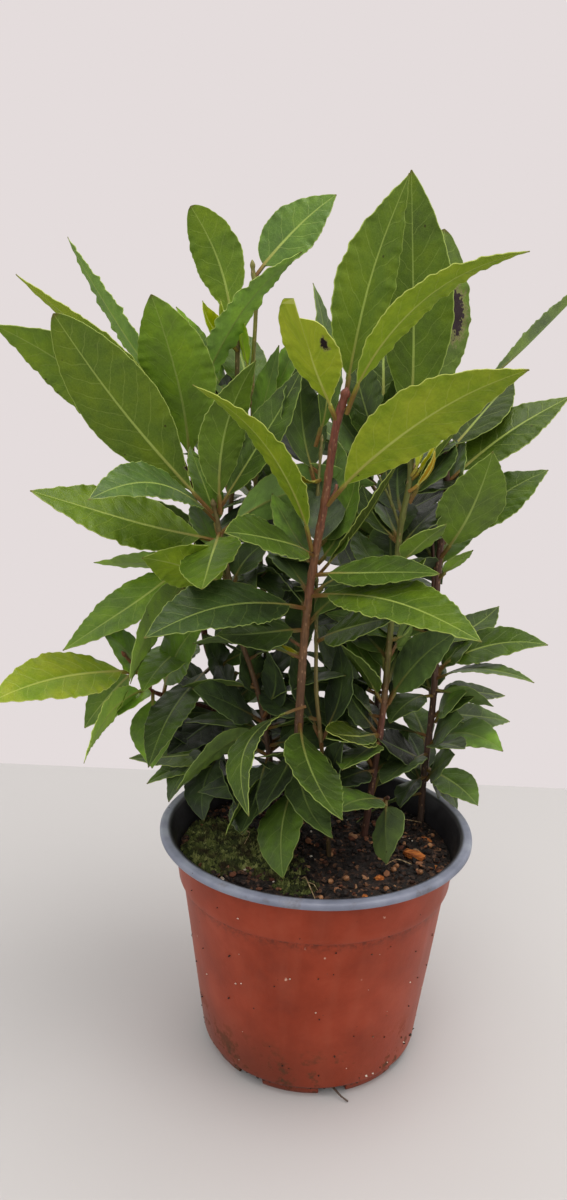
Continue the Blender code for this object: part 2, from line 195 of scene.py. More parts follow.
def clay_red_polypropylene():
    """Polypropylene, moulded with a fine grain: a soft sheen, faint flow marks, dust and scuffs, and
    splashed peat and green algae towards the foot. Painted shade darkens the band under the step, the
    lowest 40 mm and the foot groove, mixed with dust and dirt there."""
    material, tree, shader = new_finish("clay_red_polypropylene", specular=0.2)
    fill(tree, shader, {"Sheen Weight": 0.12, "Sheen Roughness": 0.45, "Sheen Tint": paint("#e8c0b0")})
    object_place = add(tree, "TexCoord").outputs["Object"]
    axes = add(tree, "SeparateXYZ", object_place)
    height = axes.outputs["Z"]
    blotches = add(tree, "TexNoise", object_place, 38, 4, 0.6)
    flow_place = add(tree, "Mapping", {"Vector": object_place, "Scale": (1, 1, 0.18)})
    flow = add(tree, "TexNoise", flow_place, 120, 3)
    body = add(tree, "ValToRGB", blotches, stops=[
        (0.28, "#7e2c15"), (0.46, "#8a3218"), (0.60, "#94381e"), (0.78, "#a0442a")])
    flow_share = add(tree, "MapRange", flow, 0.45, 0.75, 0, 0.2)

    # Painted shade with peat dust: a patchy dark band on the wall just under the step below the band.
    step = add(tree, "MapRange", height, 0.0985, 0.0972, 0, 0.75)
    under_step = add(tree, "MapRange", height, 0.0900, 0.0972, 0, 1.0)
    crumbly = add(tree, "TexNoise", object_place, 420, 4, 0.7)
    crumbly_share = add(tree, "MapRange", crumbly, 0.42, 0.62)
    step_dust_and_shade = add(tree, "Math", step, under_step, operation="MULTIPLY")
    step_dust_and_shade = add(tree, "Math", step_dust_and_shade, crumbly_share, operation="MULTIPLY")

    # Dirt and painted shade darken the lowest 40 mm, more on the left side, with patches of algae and
    # splashed soil in it.
    low_dirt_and_shade = add(tree, "MapRange", height, 0.052, 0.010, 0, 0.55, interpolation_type="SMOOTHSTEP")
    left_side_share = add(tree, "MapRange", axes.outputs["X"], 0.045, -0.03, 0.1, 1.0)
    low_dirt_and_shade = add(tree, "Math", low_dirt_and_shade, left_side_share, operation="MULTIPLY")
    low = add(tree, "MapRange", height, 0.042, 0.006, interpolation_type="SMOOTHSTEP")
    patches = add(tree, "TexNoise", object_place, 74, 5, 0.7)
    patch_share = add(tree, "MapRange", patches, 0.53, 0.62)
    algae = add(tree, "Math", low, patch_share, operation="MULTIPLY")
    algae = add(tree, "Math", algae, 0.8, operation="MULTIPLY")
    # The foot groove is near black: dirt and painted shade.
    groove = add(tree, "Math", height, 0.0050, 0.0012, operation="COMPARE")
    foot = add(tree, "MapRange", crumbly, 0.30, 0.55, 0.35, 0.9)
    foot = add(tree, "Math", groove, foot, operation="MULTIPLY")

    # Specks of perlite dust and of peat, each about a millimetre wide.
    jitter = (0.004, 0.004, 0.004)
    scuff_place = add(
        tree, "VectorMath", crumbly.outputs["Color"], jitter, object_place, operation="MULTIPLY_ADD")
    pale_specks = specks(tree, scuff_place, 105, 0.095, 0.055, 0.86, 0.88)
    dark_specks = specks(tree, object_place, 150, 0.085, 0.055, 0.90, 0.92, channel=1)
    # The marks are laid on in turn: the band under the step, the low darkening and the foot groove are
    # painted shade mixed with dust and dirt.
    for share, colour in (
            (flow_share, "#a05844"), (step_dust_and_shade, "#4e2417"), (low_dirt_and_shade, "#54291a"), (algae, "#38392a"),
            (foot, "#2c1811"), (pale_specks, "#d0a894"), (dark_specks, "#3a1a12")):
        body = add(tree, "Mix", share, body, paint(colour), data_type="RGBA")

    rough = add(tree, "MapRange", flow, 0.3, 0.7, 0.40, 0.54)
    rough = add(tree, "Math", rough, algae, operation="ADD")
    grain = add(tree, "TexNoise", object_place, 900, 2)
    bump = add(tree, "Bump", {"Height": grain, "Strength": 0.12, "Distance": 0.0004})
    bump = add(tree, "Bump", {"Height": crumbly, "Strength": 0.10, "Distance": 0.0006, "Normal": bump})
    fill(tree, shader, {"Base Color": body, "Roughness": rough, "Normal": bump})
    return material


def slate_grey_polypropylene():
    """The grey second colour of the moulding, worn smooth on the rim and smeared with dried peat."""
    material, tree, shader = new_finish("slate_grey_polypropylene")
    object_place = add(tree, "TexCoord").outputs["Object"]
    clouds = add(tree, "TexNoise", object_place, 60, 4)
    grey = add(tree, "ValToRGB", clouds, stops=[(0.30, "#6a6f80"), (0.50, "#7b8092"), (0.72, "#9096a4")])
    smears = add(tree, "TexNoise", object_place, 34, 6, 0.7)
    smear_share = add(tree, "MapRange", smears, 0.56, 0.68, 0, 0.6)
    crumbs = specks(tree, object_place, 170, 0.10, 0.06, 0.84, 0.86)

    # Inside the lip the wall turns almost black, with a ragged edge on the rim.
    axes = add(tree, "SeparateXYZ", object_place)
    flat = add(tree, "CombineXYZ", axes.outputs["X"], axes.outputs["Y"])
    reach = add(tree, "VectorMath", flat, operation="LENGTH")
    ragged = add(tree, "Math", smears, 0.002, reach, operation="MULTIPLY_ADD")
    inner_dark_share = add(tree, "MapRange", ragged, 0.0822, 0.0808, 0, 0.93)
    for share, colour in ((smear_share, "#574a41"), (crumbs, "#2b211b"), (inner_dark_share, "#17120f")):
        grey = add(tree, "Mix", share, grey, paint(colour), data_type="RGBA")
    rough = add(tree, "MapRange", smears, 0.4, 0.7, 0.34, 0.7)
    grain = add(tree, "TexNoise", object_place, 700, 2)
    bump = add(tree, "Bump", {"Height": grain, "Strength": 0.1, "Distance": 0.0004})
    fill(tree, shader, {"Base Color": grey, "Roughness": rough, "Normal": bump})
    return material


pot.data.materials.append(clay_red_polypropylene())
pot.data.materials.append(slate_grey_polypropylene())
for face in pot.data.polygons:
    inward = face.normal.x * face.center.x + face.normal.y * face.center.y < 0 and face.center.z > 6 * MM
    on_rim = face.center.z > RIM_UNDERSIDE
    face.material_index = 1 if inward or on_rim else 0
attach(pot, "root")
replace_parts(pot, "pot")

# Potting soil
# Dark, moist peat mix that fills the pot to 14 mm below the rim. Its surface is open and
# crumbly, sunk a little along the wall, and strewn with crumbs of peat, rotted wood, perlite
# and bark. The body is pulled ring by ring and roughened; the crumbs lie on it as solids.

SOIL_LEVEL = 111.3
SOIL_RINGS = [
    (59.0, 7.2), (59.3, 9.2), (61.0, 24), (65.0, 54), (69.0, 83), (70.9, 96), (73.0, 99.4), (74.2, 107),
    (74.6, 110.2)]
SOIL_RINGS += [(74.0 * (1 - k / 44) + 0.5, 111.2) for k in range(44)]
soil = pull_rings("peat_bed", SOIL_RINGS, 160)


def soil_height(x, y):
    """Height of the peat's surface in metres, at a place on it."""
    reach = hypot(x, y) / (74 * MM)
    lumps = 1.3 * noise.noise(Vector((x, y, 0)) * 90) + 1.0 * noise.noise(Vector((x, y, 0.3)) * 260)
    calmed = lumps * (1 - 0.5 * max(reach - 0.8, 0) / 0.2)
    return (SOIL_LEVEL + calmed - 2.2 * max(reach - 0.86, 0) / 0.14) * MM


for vertex in soil.data.vertices:
    if vertex.co.z > 110.5 * MM:
        vertex.co.z = soil_height(vertex.co.x, vertex.co.y)
soil.data.shade_smooth()


def moist_peat():
    """Sphagnum peat, milled and moist: near black, with fibres and crumbs of brown in it. It is rough,
    and only its wet crumbs glint."""
    material, tree, shader = new_finish("moist_peat")
    object_place = add(tree, "TexCoord").outputs["Object"]
    crumbs = add(tree, "TexVoronoi", object_place, 520)
    tone = add(tree, "SeparateColor", crumbs.outputs["Color"])
    colour = add(tree, "ValToRGB", tone, stops=[
        (0.0, "#130d0b"), (0.50, "#211612"), (0.82, "#3f2a20"), (1.0, "#80593f")])
    damp = add(tree, "TexNoise", object_place, 110, 4)
    damp_share = add(tree, "MapRange", damp, 0.42, 0.62, 0, 0.7)
    colour = add(tree, "Mix", damp_share, colour, paint("#150e0c"), data_type="RGBA")
    rough = add(tree, "MapRange", tone.outputs[1], 0, 1, 0.65, 1.0)
    fibres = add(tree, "TexNoise", object_place, 650, 6, 0.7)
    bump = add(tree, "Bump", {"Height": crumbs, "Strength": 0.7, "Distance": 0.0012})
    bump = add(tree, "Bump", {"Height": fibres, "Strength": 0.8, "Distance": 0.0010, "Normal": bump})
    fill(tree, shader, {"Base Color": colour, "Roughness": rough, "Normal": bump})
    return material


peat_finish = moist_peat()
soil.data.materials.append(peat_finish)
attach(soil, "root")
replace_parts(soil, "potting_soil")


def on_peat(x, y, rise):
    """A place in metres, a rise in mm above the peat, over a place in mm."""
    return Vector((x * MM, y * MM, soil_height(x * MM, y * MM) + rise * MM))


def lump_blank(name, detail, uneven, seed):
    """One irregular lump of unit size, knocked out of an icosphere."""
    bpy.ops.mesh.primitive_ico_sphere_add(subdivisions=detail, radius=1)
    blank = bpy.context.object
    blank.name = name
    for vertex in blank.data.vertices:
        vertex.co *= 1 + uneven * noise.noise(vertex.co * 1.7 + Vector((seed, 0, 0)))
    return blank


def strew(name, blank, places, finish):
    """Copies of one blank, each with its own place, turn and size, as one piece."""
    heap = bmesh.new()
    for place, turn, size in places:
        before = len(heap.verts)
        heap.from_mesh(blank.data)
        heap.verts.ensure_lookup_table()
        move = Matrix.LocRotScale(place, turn, size)
        bmesh.ops.transform(heap, matrix=move, verts=heap.verts[before:])
    mesh = bpy.data.meshes.new(name)
    heap.to_mesh(mesh)
    heap.free()
    piece = bpy.data.objects.new(name, mesh)
    bpy.context.scene.collection.objects.link(piece)
    mesh.materials.append(finish)
    bpy.data.objects.remove(blank, do_unlink=True)
    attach(piece, "root")


def soil_places(count, low, high, flat, seed, reach=72.5, sink=0.25):
    """Seeded places on the peat, with sizes between low and high mm."""
    chance = random.Random(seed)
    for _ in range(count):
        radius, turn = reach * MM * chance.random() ** 0.5, chance.uniform(0, 2 * pi)
        x, y = radius * cos(turn), radius * sin(turn)
        size = chance.uniform(low, high) * MM / 2
        z = soil_height(x, y) + size * (flat - sink)
        spin = Euler((chance.uniform(-0.5, 0.5), chance.uniform(-0.5, 0.5), chance.uniform(0, 2 * pi)))
        stretch = (chance.uniform(0.8, 1.5), chance.uniform(0.7, 1.1), chance.uniform(0.6, 1.0) * flat)
        yield Vector((x, y, z)), spin, Vector(stretch) * size


strew("peat_crumbs", lump_blank("crumb", 1, 0.5, 3), soil_places(900, 1.2, 4.2, 0.8, 11), peat_finish)


def rotted_wood():
    """Crumbs of rotted wood and coir in the peat: dull, dry and mid brown."""
    material, tree, shader = new_finish("rotted_wood", roughness=0.9)
    object_place = add(tree, "TexCoord").outputs["Object"]
    lots = add(tree, "TexVoronoi", object_place, 160)
    tone = add(tree, "SeparateColor", lots.outputs["Color"])
    colour = add(tree, "ValToRGB", tone, stops=[
        (0.0, "#2f1a11"), (0.40, "#5c3220"), (0.72, "#84553a"), (1.0, "#ad8560")])
    fibres = add(tree, "TexNoise", object_place, 1400, 3)
    bump = add(tree, "Bump", {"Height": fibres, "Strength": 0.6, "Distance": 0.0005})
    fill(tree, shader, {"Base Color": colour, "Normal": bump})
    return material


strew("wood_crumbs", lump_blank("crumb", 1, 0.5, 8), soil_places(260, 1.2, 4.6, 0.6, 23, sink=0.1),
      rotted_wood())


def perlite():
    """Expanded volcanic glass: light white grains, stained by the peat round them."""
    material, tree, shader = new_finish("perlite", roughness=0.8)
    object_place = add(tree, "TexCoord").outputs["Object"]
    stains = add(tree, "TexNoise", object_place, 500, 3)
    colour = add(tree, "ValToRGB", stains, stops=[(0.35, "#a08c78"), (0.5, "#cbbfb0"), (0.7, "#e6e0d6")])
    bump = add(tree, "Bump", {"Height": stains, "Strength": 0.5, "Distance": 0.0006})
    fill(tree, shader, {"Base Color": colour, "Normal": bump})
    return material


perlite_finish = perlite()
strew("perlite_grains", lump_blank("grain", 1, 0.35, 5), soil_places(52, 0.8, 2.1, 0.8, 37, sink=0.0),
      perlite_finish)


def pine_bark():
    """Chips of composted pine bark: orange brown where they are broken, with a flaky grain."""
    material, tree, shader = new_finish("pine_bark", roughness=0.85)
    object_place = add(tree, "TexCoord").outputs["Object"]
    grain_place = add(tree, "Mapping", {
        "Vector": object_place, "Rotation": (0, 0, radians(38)), "Scale": (1, 4, 4)})
    grain = add(tree, "TexNoise", grain_place, 220, 5)
    colour = add(tree, "ValToRGB", grain, stops=[
        (0.30, "#5f3115"), (0.48, "#a8581f"), (0.62, "#c97a34"), (0.8, "#d9a062")])
    bump = add(tree, "Bump", {"Height": grain, "Strength": 0.8, "Distance": 0.0008})
    fill(tree, shader, {"Base Color": colour, "Normal": bump})
    return material


bark_finish = pine_bark()
bark_places = [
    (on_peat(x, y, 0.5), Euler((radians(a), radians(b), radians(c))), Vector(size) * MM / 2)
    for x, y, a, b, c, size in (
        (34, -34, 10, 0, 20, (5, 4, 3.2)), (26, -52, 0, 12, 70, (4, 3, 2)), (66, -18, 20, 0, 110, (5, 3, 2)),
        (63, 12, 0, -8, 150, (6, 3, 2)), (-26, -58, 0, 10, 15, (5, 3.4, 2.6)),
        (48, 24, 14, 0, 40, (5, 2.6, 1.8)), (10, 58, 0, 0, 100, (8, 4, 2)),
        (-34, 60, 10, 0, 160, (6, 4, 2)), (40, 52, 0, 9, 60, (7, 3, 2)))]
strew("small_bark_chips", lump_blank("chip", 2, 0.55, 13), bark_places, bark_finish)


def fertiliser():
    """Slow-release feed: round prills of a tan resin with a faint gloss."""
    material, tree, shader = new_finish("fertiliser_prills", roughness=0.5)
    object_place = add(tree, "TexCoord").outputs["Object"]
    clouds = add(tree, "TexNoise", object_place, 160, 3)
    colour = add(tree, "ValToRGB", clouds, stops=[(0.35, "#7a4f30"), (0.55, "#b07d54"), (0.7, "#c79a72")])
    fill(tree, shader, {"Base Color": colour})
    return material


prill_places = [
    (on_peat(x, y, 1.1), Euler((0, 0, y)), Vector((1, 1, 0.94)) * size / 2 * MM)
    for x, y, size in (
        (-44, -32, 3.6), (42, -25, 3.2), (9, -12, 3.0), (17, -37, 3.2), (32, 3, 2.8), (9, -40, 3.0),
        (44, -21, 2.6), (56, -26, 2.8), (64, 3, 3.0), (50, 5, 2.8), (-12, 22, 3.0), (24, 44, 3.2),
        (-40, 48, 3.0), (4, -56, 2.8), (37, -44, 3.2), (67, 18, 2.6))]
bpy.ops.mesh.primitive_ico_sphere_add(subdivisions=2, radius=1)
strew("fertiliser_prills", bpy.context.object, prill_places, fertiliser())

bpy.ops.mesh.primitive_cube_add(size=1)
chip = bpy.context.object
chip.name = "orange_bark_chip"
bpy.ops.object.mode_set(mode="EDIT")
bpy.ops.mesh.select_all(action="SELECT")
bpy.ops.mesh.subdivide(number_cuts=7)
bpy.ops.object.mode_set(mode="OBJECT")
for vertex in chip.data.vertices:
    place = vertex.co
    taper = 1 - 0.9 * max(abs(place.x) - 0.2, 0)
    ragged = 1 + 0.4 * noise.noise(place * 5)
    place.x *= 12 * MM
    place.y *= 5.5 * MM * taper * ragged
    place.z *= 2.4 * MM * taper * (1 + 0.3 * noise.noise(Vector((place.x, place.y, 0)) * 400))
chip.data.transform(Matrix.Translation(Vector((54, -10, 113.4)) * MM) @ Matrix.Rotation(radians(-38), 4, "Z"))
chip.data.shade_smooth()
chip.data.materials.append(bark_finish)
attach(chip, "root")
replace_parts(chip, "bark_chip")


def wall_places(count, low, high, seed, lowest=4):
    """Seeded places on the outside of the pot's wall."""
    chance = random.Random(seed)
    outside = POT_PROFILE[3:29]
    for _ in range(count):
        height = lowest + (118 - lowest) * chance.random() ** 1.6
        (r0, z0), (r1, z1) = next(pair for pair in zip(outside, outside[1:]) if pair[1][1] >= height)
        radius = r0 + (r1 - r0) * (height - z0) / max(z1 - z0, 0.01)
        turn = chance.uniform(0, 2 * pi)
        size = chance.uniform(low, high) * MM / 2
        spin = Euler((0, radians(90) + chance.uniform(-0.3, 0.3), turn))
        stretch = Vector((0.45, chance.uniform(0.5, 1.0), chance.uniform(0.6, 1.4))) * size
        yield Vector((radius * cos(turn), radius * sin(turn), height)) * MM, spin, stretch


strew("stuck_peat", lump_blank("crumb", 1, 0.5, 21), wall_places(130, 0.7, 2.0, 51), peat_finish)
strew("stuck_grit", lump_blank("grain", 1, 0.4, 9), wall_places(46, 0.8, 2.2, 53, lowest=8),
      perlite_finish)
strew("foot_peat", lump_blank("crumb", 1, 0.6, 33), [
    (Vector((58.6 * cos(k * 1.83) * MM, 58.6 * sin(k * 1.83) * MM, 5.0 * MM)), Euler((k, k * 2.0, k * 3.0)),
     Vector((0.5 + 0.6 * (k % 3), 1.6, 0.7)) * MM / 1.6) for k in range(90)], peat_finish)

# Moss
# A patch of carpet moss that has grown on the peat at the front left: a low olive cushion of
# short upright shoots, thinning out towards the front. The cushion is a thin sheet that follows
# the peat and swells up over the spots, and every shoot is a small pointed tuft on it.

MOSS_SPOTS = ((-47, -12, 27, 27), (-20, -27, 17, 14), (-62, 12, 13, 15), (-8, -47, 12, 8))


def moss_height(x, y):
    """Height of the moss over the peat in mm, nought outside it, at a place in mm."""
    best = 0
    for cx, cy, rx, ry in MOSS_SPOTS:
        gone = max(hypot((x - cx) / rx, (y - cy) / ry) + 0.22 * noise.noise(Vector((x, y, 2)) * 0.12), 0)
        best = max(best, (4.2 if rx > 20 else 2.2) * max(1 - gone ** 2.4, 0) ** 0.6)
    return best


def moss_shoots(count, seed):
    chance = random.Random(seed)
    made = 0
    while made < count:
        x, y = chance.uniform(-74, 6), chance.uniform(-56, 28)
        grown = moss_height(x, y)
        if grown < 0.25 or hypot(x, y) > 73.5 or chance.random() > 0.35 + 0.2 * grown:
            continue
        made += 1
        lean = Euler((chance.uniform(-0.7, 0.7), chance.uniform(-0.7, 0.7), chance.uniform(0, 6.3)))
        size = chance.uniform(0.8, 1.5)
        yield on_peat(x, y, 0.86 * grown + 0.3), lean, Vector((0.75 * size, 0.75 * size, 1.1 * size)) * MM


def carpet_moss():
    """Feather-like green shoots over a brown base: dry, matt, and different in green from tuft to tuft."""
    material, tree, shader = new_finish("carpet_moss", roughness=0.9, specular=0.25)
    object_place = add(tree, "TexCoord").outputs["Object"]
    tufts = add(tree, "TexVoronoi", object_place, 420)
    tone = add(tree, "SeparateColor", tufts.outputs["Color"])
    colour = add(tree, "ValToRGB", tone, stops=[
        (0.0, "#2f331f"), (0.4, "#4b542c"), (0.75, "#69723b"), (1.0, "#92965b")])
    worn = add(tree, "TexNoise", object_place, 95, 4)
    worn_share = add(tree, "MapRange", worn, 0.48, 0.64, 0, 0.8)
    colour = add(tree, "Mix", worn_share, colour, paint("#33261a"), data_type="RGBA")
    fuzz = add(tree, "TexNoise", object_place, 1500, 4)
    bump = add(tree, "Bump", {"Height": fuzz, "Strength": 0.9, "Distance": 0.0008})
    fill(tree, shader, {"Base Color": colour, "Normal": bump})
    return material


moss_finish = carpet_moss()
bpy.ops.mesh.primitive_grid_add(x_subdivisions=96, y_subdivisions=96, size=1)
moss = bpy.context.object
moss.name = "moss_cushion"
for vertex in moss.data.vertices:
    x, y = -34 + 84 * vertex.co.x, -14 + 88 * vertex.co.y
    reach = hypot(x, y)
    if reach > 73.6:
        x, y = x * 73.6 / reach, y * 73.6 / reach
    grown = moss_height(x, y)
    rough_top = 0.5 * noise.noise(Vector((x, y, 5)) * 0.9) if grown else 0
    vertex.co = on_peat(x, y, grown - 0.9 + rough_top)
select_only(moss)
thicken = moss.modifiers.new("body", "SOLIDIFY")
thicken.thickness = 1.2 * MM
thicken.offset = -1
bpy.ops.object.modifier_apply(modifier="body")
moss.data.shade_smooth()
moss.data.materials.append(moss_finish)
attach(moss, "root")
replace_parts(moss, "moss_patch")

bpy.ops.mesh.primitive_cone_add(vertices=4, radius1=1, radius2=0.1, depth=2)
strew("moss_shoots", bpy.context.object, moss_shoots(2600, 41), moss_finish)

# Stems
# Nine young laurel stems, each a cutting planted in the same pot, with thin smooth bark: olive
# or orange red where it is young, purple brown where it is old. A stem is a bevelled curve
# through its way-points, thickened where a leaf leaves it, and it ends in a pointed bud.

SOCKET_DEPTH = 9
BUD = ((0.6, 1.05), (1.5, 1.3), (2.6, 1.35), (3.8, 1.0), (4.8, 0.5), (5.4, 0.08))


def run_through(points, step=2.5):
    """The way-points in mm, joined by a smooth line that is cut into short steps."""
    ends = [2 * points[0] - points[1], *points, 2 * points[-1] - points[-2]]
    line = []
    for a, b, c, d in zip(ends, ends[1:], ends[2:], ends[3:]):
        cuts = max(int((c - b).length / step), 1)
        for k in range(cuts):
            t = k / cuts
            bow = (2 * a - 5 * b + 4 * c - d) * t * t
            line.append(0.5 * (2 * b + (c - a) * t + bow + (3 * b - a - 3 * c + d) * t ** 3))
    line.append(points[-1])
    return line


def young_bark(name, foot, middle, top, low, high):
    """Laurel bark of the first two years: a smooth skin with fine lengthwise wrinkles and pale
    lenticels. Its colour changes with age from the tip down."""
    material, tree, shader = new_finish(name, specular=0.4)
    object_place = add(tree, "TexCoord").outputs["Object"]
    height = add(tree, "SeparateXYZ", object_place).outputs["Z"]
    clouds = add(tree, "TexNoise", object_place, 60, 3)
    aged = add(tree, "MapRange", height, low * MM, high * MM)
    uneven = add(tree, "MapRange", clouds, 0.3, 0.7, -0.16, 0.16)
    aged = add(tree, "Math", aged, uneven, operation="ADD", use_clamp=True)
    colour = add(tree, "ValToRGB", aged, stops=[(0.0, foot), (0.45, middle), (1.0, top)])
    streak_place = add(tree, "Mapping", {"Vector": object_place, "Scale": (1, 1, 0.12)})
    streaks = add(tree, "TexNoise", streak_place, 1100, 4)
    streak_share = add(tree, "MapRange", streaks, 0.42, 0.7, 0, 0.5)
    colour = add(tree, "Mix", streak_share, colour, paint("#2e1c16"), data_type="RGBA")
    pore_place = add(tree, "Mapping", {"Vector": object_place, "Scale": (1, 1, 0.5)})
    pores = add(tree, "TexVoronoi", pore_place, 480)
    pore_share = add(tree, "MapRange", pores, 0.24, 0.14, 0, 0.55)
    colour = add(tree, "Mix", pore_share, colour, paint("#b08a68"), data_type="RGBA")
    rough = add(tree, "MapRange", streaks, 0.3, 0.7, 0.42, 0.68)
    bump = add(tree, "Bump", {"Height": streaks, "Strength": 0.5, "Distance": 0.0005})
    fill(tree, shader, {"Base Color": colour, "Roughness": rough, "Normal": bump})
    return material


class Stem:
    """A stem's way-points in mm, with its radii at foot and top and the heights of its nodes."""

    def __init__(self, name, radii, route, nodes, bark, planted=True):
        self.name = name
        self.radii = radii
        self.route = [Vector(point) for point in route]
        self.nodes = nodes
        self.bark = bark
        if planted:
            self.route.insert(0, self.route[0] - Vector((0, 0, SOCKET_DEPTH)))
        self.lengths = [0.0]
        for a, b in zip(self.route, self.route[1:]):
            self.lengths.append(self.lengths[-1] + (b - a).length)

    def radius(self, length):
        foot, top = self.radii
        return foot + (top - foot) * length / self.lengths[-1]

    def at(self, height):
        """Centre, direction and radius in mm where the stem passes this height."""
        last = len(self.route) - 2
        i = next((k for k in range(last + 1) if self.route[k + 1].z >= height), last)
        step = self.route[i + 1] - self.route[i]
        share = min(max((height - self.route[i].z) / step.z, 0), 1)
        radius = self.radius(self.lengths[i] + share * step.length)
        return self.route[i] + step * share, step.normalized(), radius

    def grow(self, bud=True):
        line = run_through(self.route)
        if bud:
            onward = (line[-1] - line[-2]).normalized()
            line += [line[-1] + onward * step for step, _ in BUD]
        curve = bpy.data.curves.new(self.name, "CURVE")
        curve.dimensions = "3D"
        curve.bevel_depth = 1 * MM
        curve.bevel_resolution = 4
        curve.use_fill_caps = True
        spline = curve.splines.new("POLY")
        spline.points.add(len(line) - 1)
        run = 0.0
        for k, (point, place) in enumerate(zip(spline.points, line)):
            run += (place - line[k - 1]).length if k else 0
            swell = sum(0.32 * exp(-((place.z - height + 0.8) / 1.7) ** 2) for height in self.nodes)
            point.co = (*place * MM, 1.0)
            uneven = 1 + 0.05 * noise.noise(place * 0.3)
            point.radius = self.radius(min(run, self.lengths[-1])) * uneven + swell
            if bud and k >= len(line) - len(BUD):
                point.radius = self.radii[1] * BUD[k - len(line)][1]
        stem = bpy.data.objects.new(self.name, curve)
        bpy.context.scene.collection.objects.link(stem)
        select_only(stem)
        bpy.ops.object.convert(target="MESH")
        stem = bpy.context.object
        weld = stem.modifiers.new("weld", "WELD")
        weld.merge_threshold = 0.02 * MM
        bpy.ops.object.modifier_apply(modifier="weld")
        stem.data.shade_smooth()
        stem.data.materials.append(self.bark)
        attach(stem, "root")
        return stem


front_stem = Stem("front_stem_wood", (2.4, 1.8), [
    (-12, -9, 112), (-11, -12, 166), (-10, -15, 206), (-9, -17, 233), (-7, -20, 260),
    (-4, -24, 284), (-1, -28, 305), (1, -31, 325), (3, -35, 341), (6, -38, 353)],
    (128, 142, 155, 167, 188, 197, 214, 236, 251, 258, 269, 283, 292, 306, 318, 331, 345, 350),
    young_bark("front_stem_bark", "#4e3428", "#7e5a3a", "#80463a", 140, 350))
thin_stem = Stem("thin_stem_wood", (1.3, 1.0), [
    (8, -13, 112), (4, -12, 155), (1, -11, 180), (-2, -10, 204), (-3, -7, 231), (-4, -2, 259)],
    (135, 158, 181, 206, 231), young_bark("thin_stem_bark", "#4b3c22", "#6d5a30", "#75703a", 120, 240))
middle_stem = Stem("middle_stem_wood", (2.0, 1.5), [
    (28, 13, 112), (31, 12, 145), (34, 10, 178), (35, 8, 198), (36, 5, 234),
    (37, 2, 265), (38, 0, 290), (41, -3, 314), (40, -5, 334)],
    (126, 150, 175, 195, 222, 246, 270, 296, 325, 330),
    young_bark("middle_stem_bark", "#54382e", "#74463a", "#707438", 150, 232))
right_stem = Stem("right_stem_wood", (2.0, 1.5), [
    (62, 35, 112), (62, 34, 137), (64, 31, 180), (64, 29, 210), (62, 27, 250), (62, 24, 280),
    (63, 22, 300), (62, 20, 318), (61, 20, 334), (67, 28, 350), (76, 40, 366)],
    (130, 146, 165, 180, 194, 203, 208, 221, 238, 262, 274, 280, 297, 313, 328, 345, 360),
    young_bark("right_stem_bark", "#54443a", "#644438", "#604438", 120, 330))
left_stem = Stem("left_stem_wood", (1.6, 1.3), [
    (-23, 18, 112), (-23, 18, 128), (-28, 18, 159), (-33, 17, 187), (-39, 14, 209),
    (-44, 11, 225), (-49, 8, 252), (-54, 5, 277), (-58, 3, 296)],
    (140, 157, 172, 200, 228, 255, 280, 284, 292),
    young_bark("left_stem_bark", "#46342a", "#644a34", "#6e6238", 120, 290))
outer_left_stem = Stem("outer_left_stem_wood", (2.2, 1.5), [
    (-48, 44, 112), (-48, 44, 118), (-54, 43, 167), (-61, 44, 194), (-68, 45, 215),
    (-73, 47, 261), (-75, 48, 295), (-76, 47, 312), (-77, 47, 332), (-77, 46, 350)],
    (134, 151, 171, 200, 230, 252, 263, 285, 306, 312, 330, 344),
    young_bark("outer_left_stem_bark", "#38221f", "#5f3226", "#74452f", 120, 340))
back_left_stem = Stem("back_left_stem_wood", (1.9, 1.3), [
    (-42, 57, 112), (-42, 57, 118), (-52, 57, 165), (-57, 57, 192), (-59, 57, 215),
    (-57, 58, 260), (-54, 58, 323), (-53, 58, 360), (-53, 59, 386)],
    (140, 172, 196, 222, 250, 276, 300, 330, 358, 380),
    young_bark("back_left_stem_bark", "#38221f", "#5b3026", "#6d6134", 120, 380))
back_stem = Stem("back_stem_wood", (1.6, 1.1), [
    (-27, 50, 112), (-27, 50, 116), (-31, 51, 177), (-35, 52, 238), (-38, 53, 270),
    (-42, 54, 318), (-44, 55, 360), (-43, 56, 400), (-45, 57, 421)],
    (150, 185, 215, 245, 272, 300, 336, 372, 402, 419),
    young_bark("back_stem_bark", "#3c2a20", "#66512a", "#7c7838", 120, 400))
far_stem = Stem("far_stem_wood", (1.8, 1.2), [
    (34, 60, 112), (35, 64, 170), (34, 65, 230), (32, 63, 290), (30, 60, 345)],
    (140, 168, 200, 222, 262, 280, 300, 320, 342),
    young_bark("far_stem_bark", "#3a241f", "#5a3427", "#6a5c34", 120, 330))
left_twig = Stem("left_twig_wood", (1.3, 0.9), [
    (-54.5, 43, 170), (-58, 41, 172), (-76, 34, 180), (-94, 22, 189), (-98, 10, 202), (-104, -2, 216)],
    (187, 195, 207), young_bark("left_twig_bark", "#4a2a24", "#7a3a30", "#80543a", 165, 215), planted=False)
middle_twig = Stem("middle_twig_wood", (1.1, 0.9), [
    (32, 12, 134), (34, 7, 137), (37, 0, 140), (38, -7, 144)],
    (), middle_stem.bark, planted=False)
right_twig = Stem("right_twig_wood", (1.1, 0.8), [
    (63.5, 29, 232), (61, 32, 238), (60, 33, 262), (58, 34, 285)],
    (262, 282), right_stem.bark, planted=False)
inner_twig = Stem("inner_twig_wood", (0.95, 0.8), [
    (-4, -2, 256), (-5, 2, 280), (-5, 8, 305), (-4, 14, 330)],
    (282, 306, 326), thin_stem.bark, planted=False)

for stem in (front_stem, thin_stem, middle_stem, right_stem, left_stem, outer_left_stem, back_left_stem,
             back_stem, far_stem, left_twig):
    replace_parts(stem.grow(), stem.name.removesuffix("_wood"))
for twig in (middle_twig, right_twig, inner_twig):
    twig.grow()

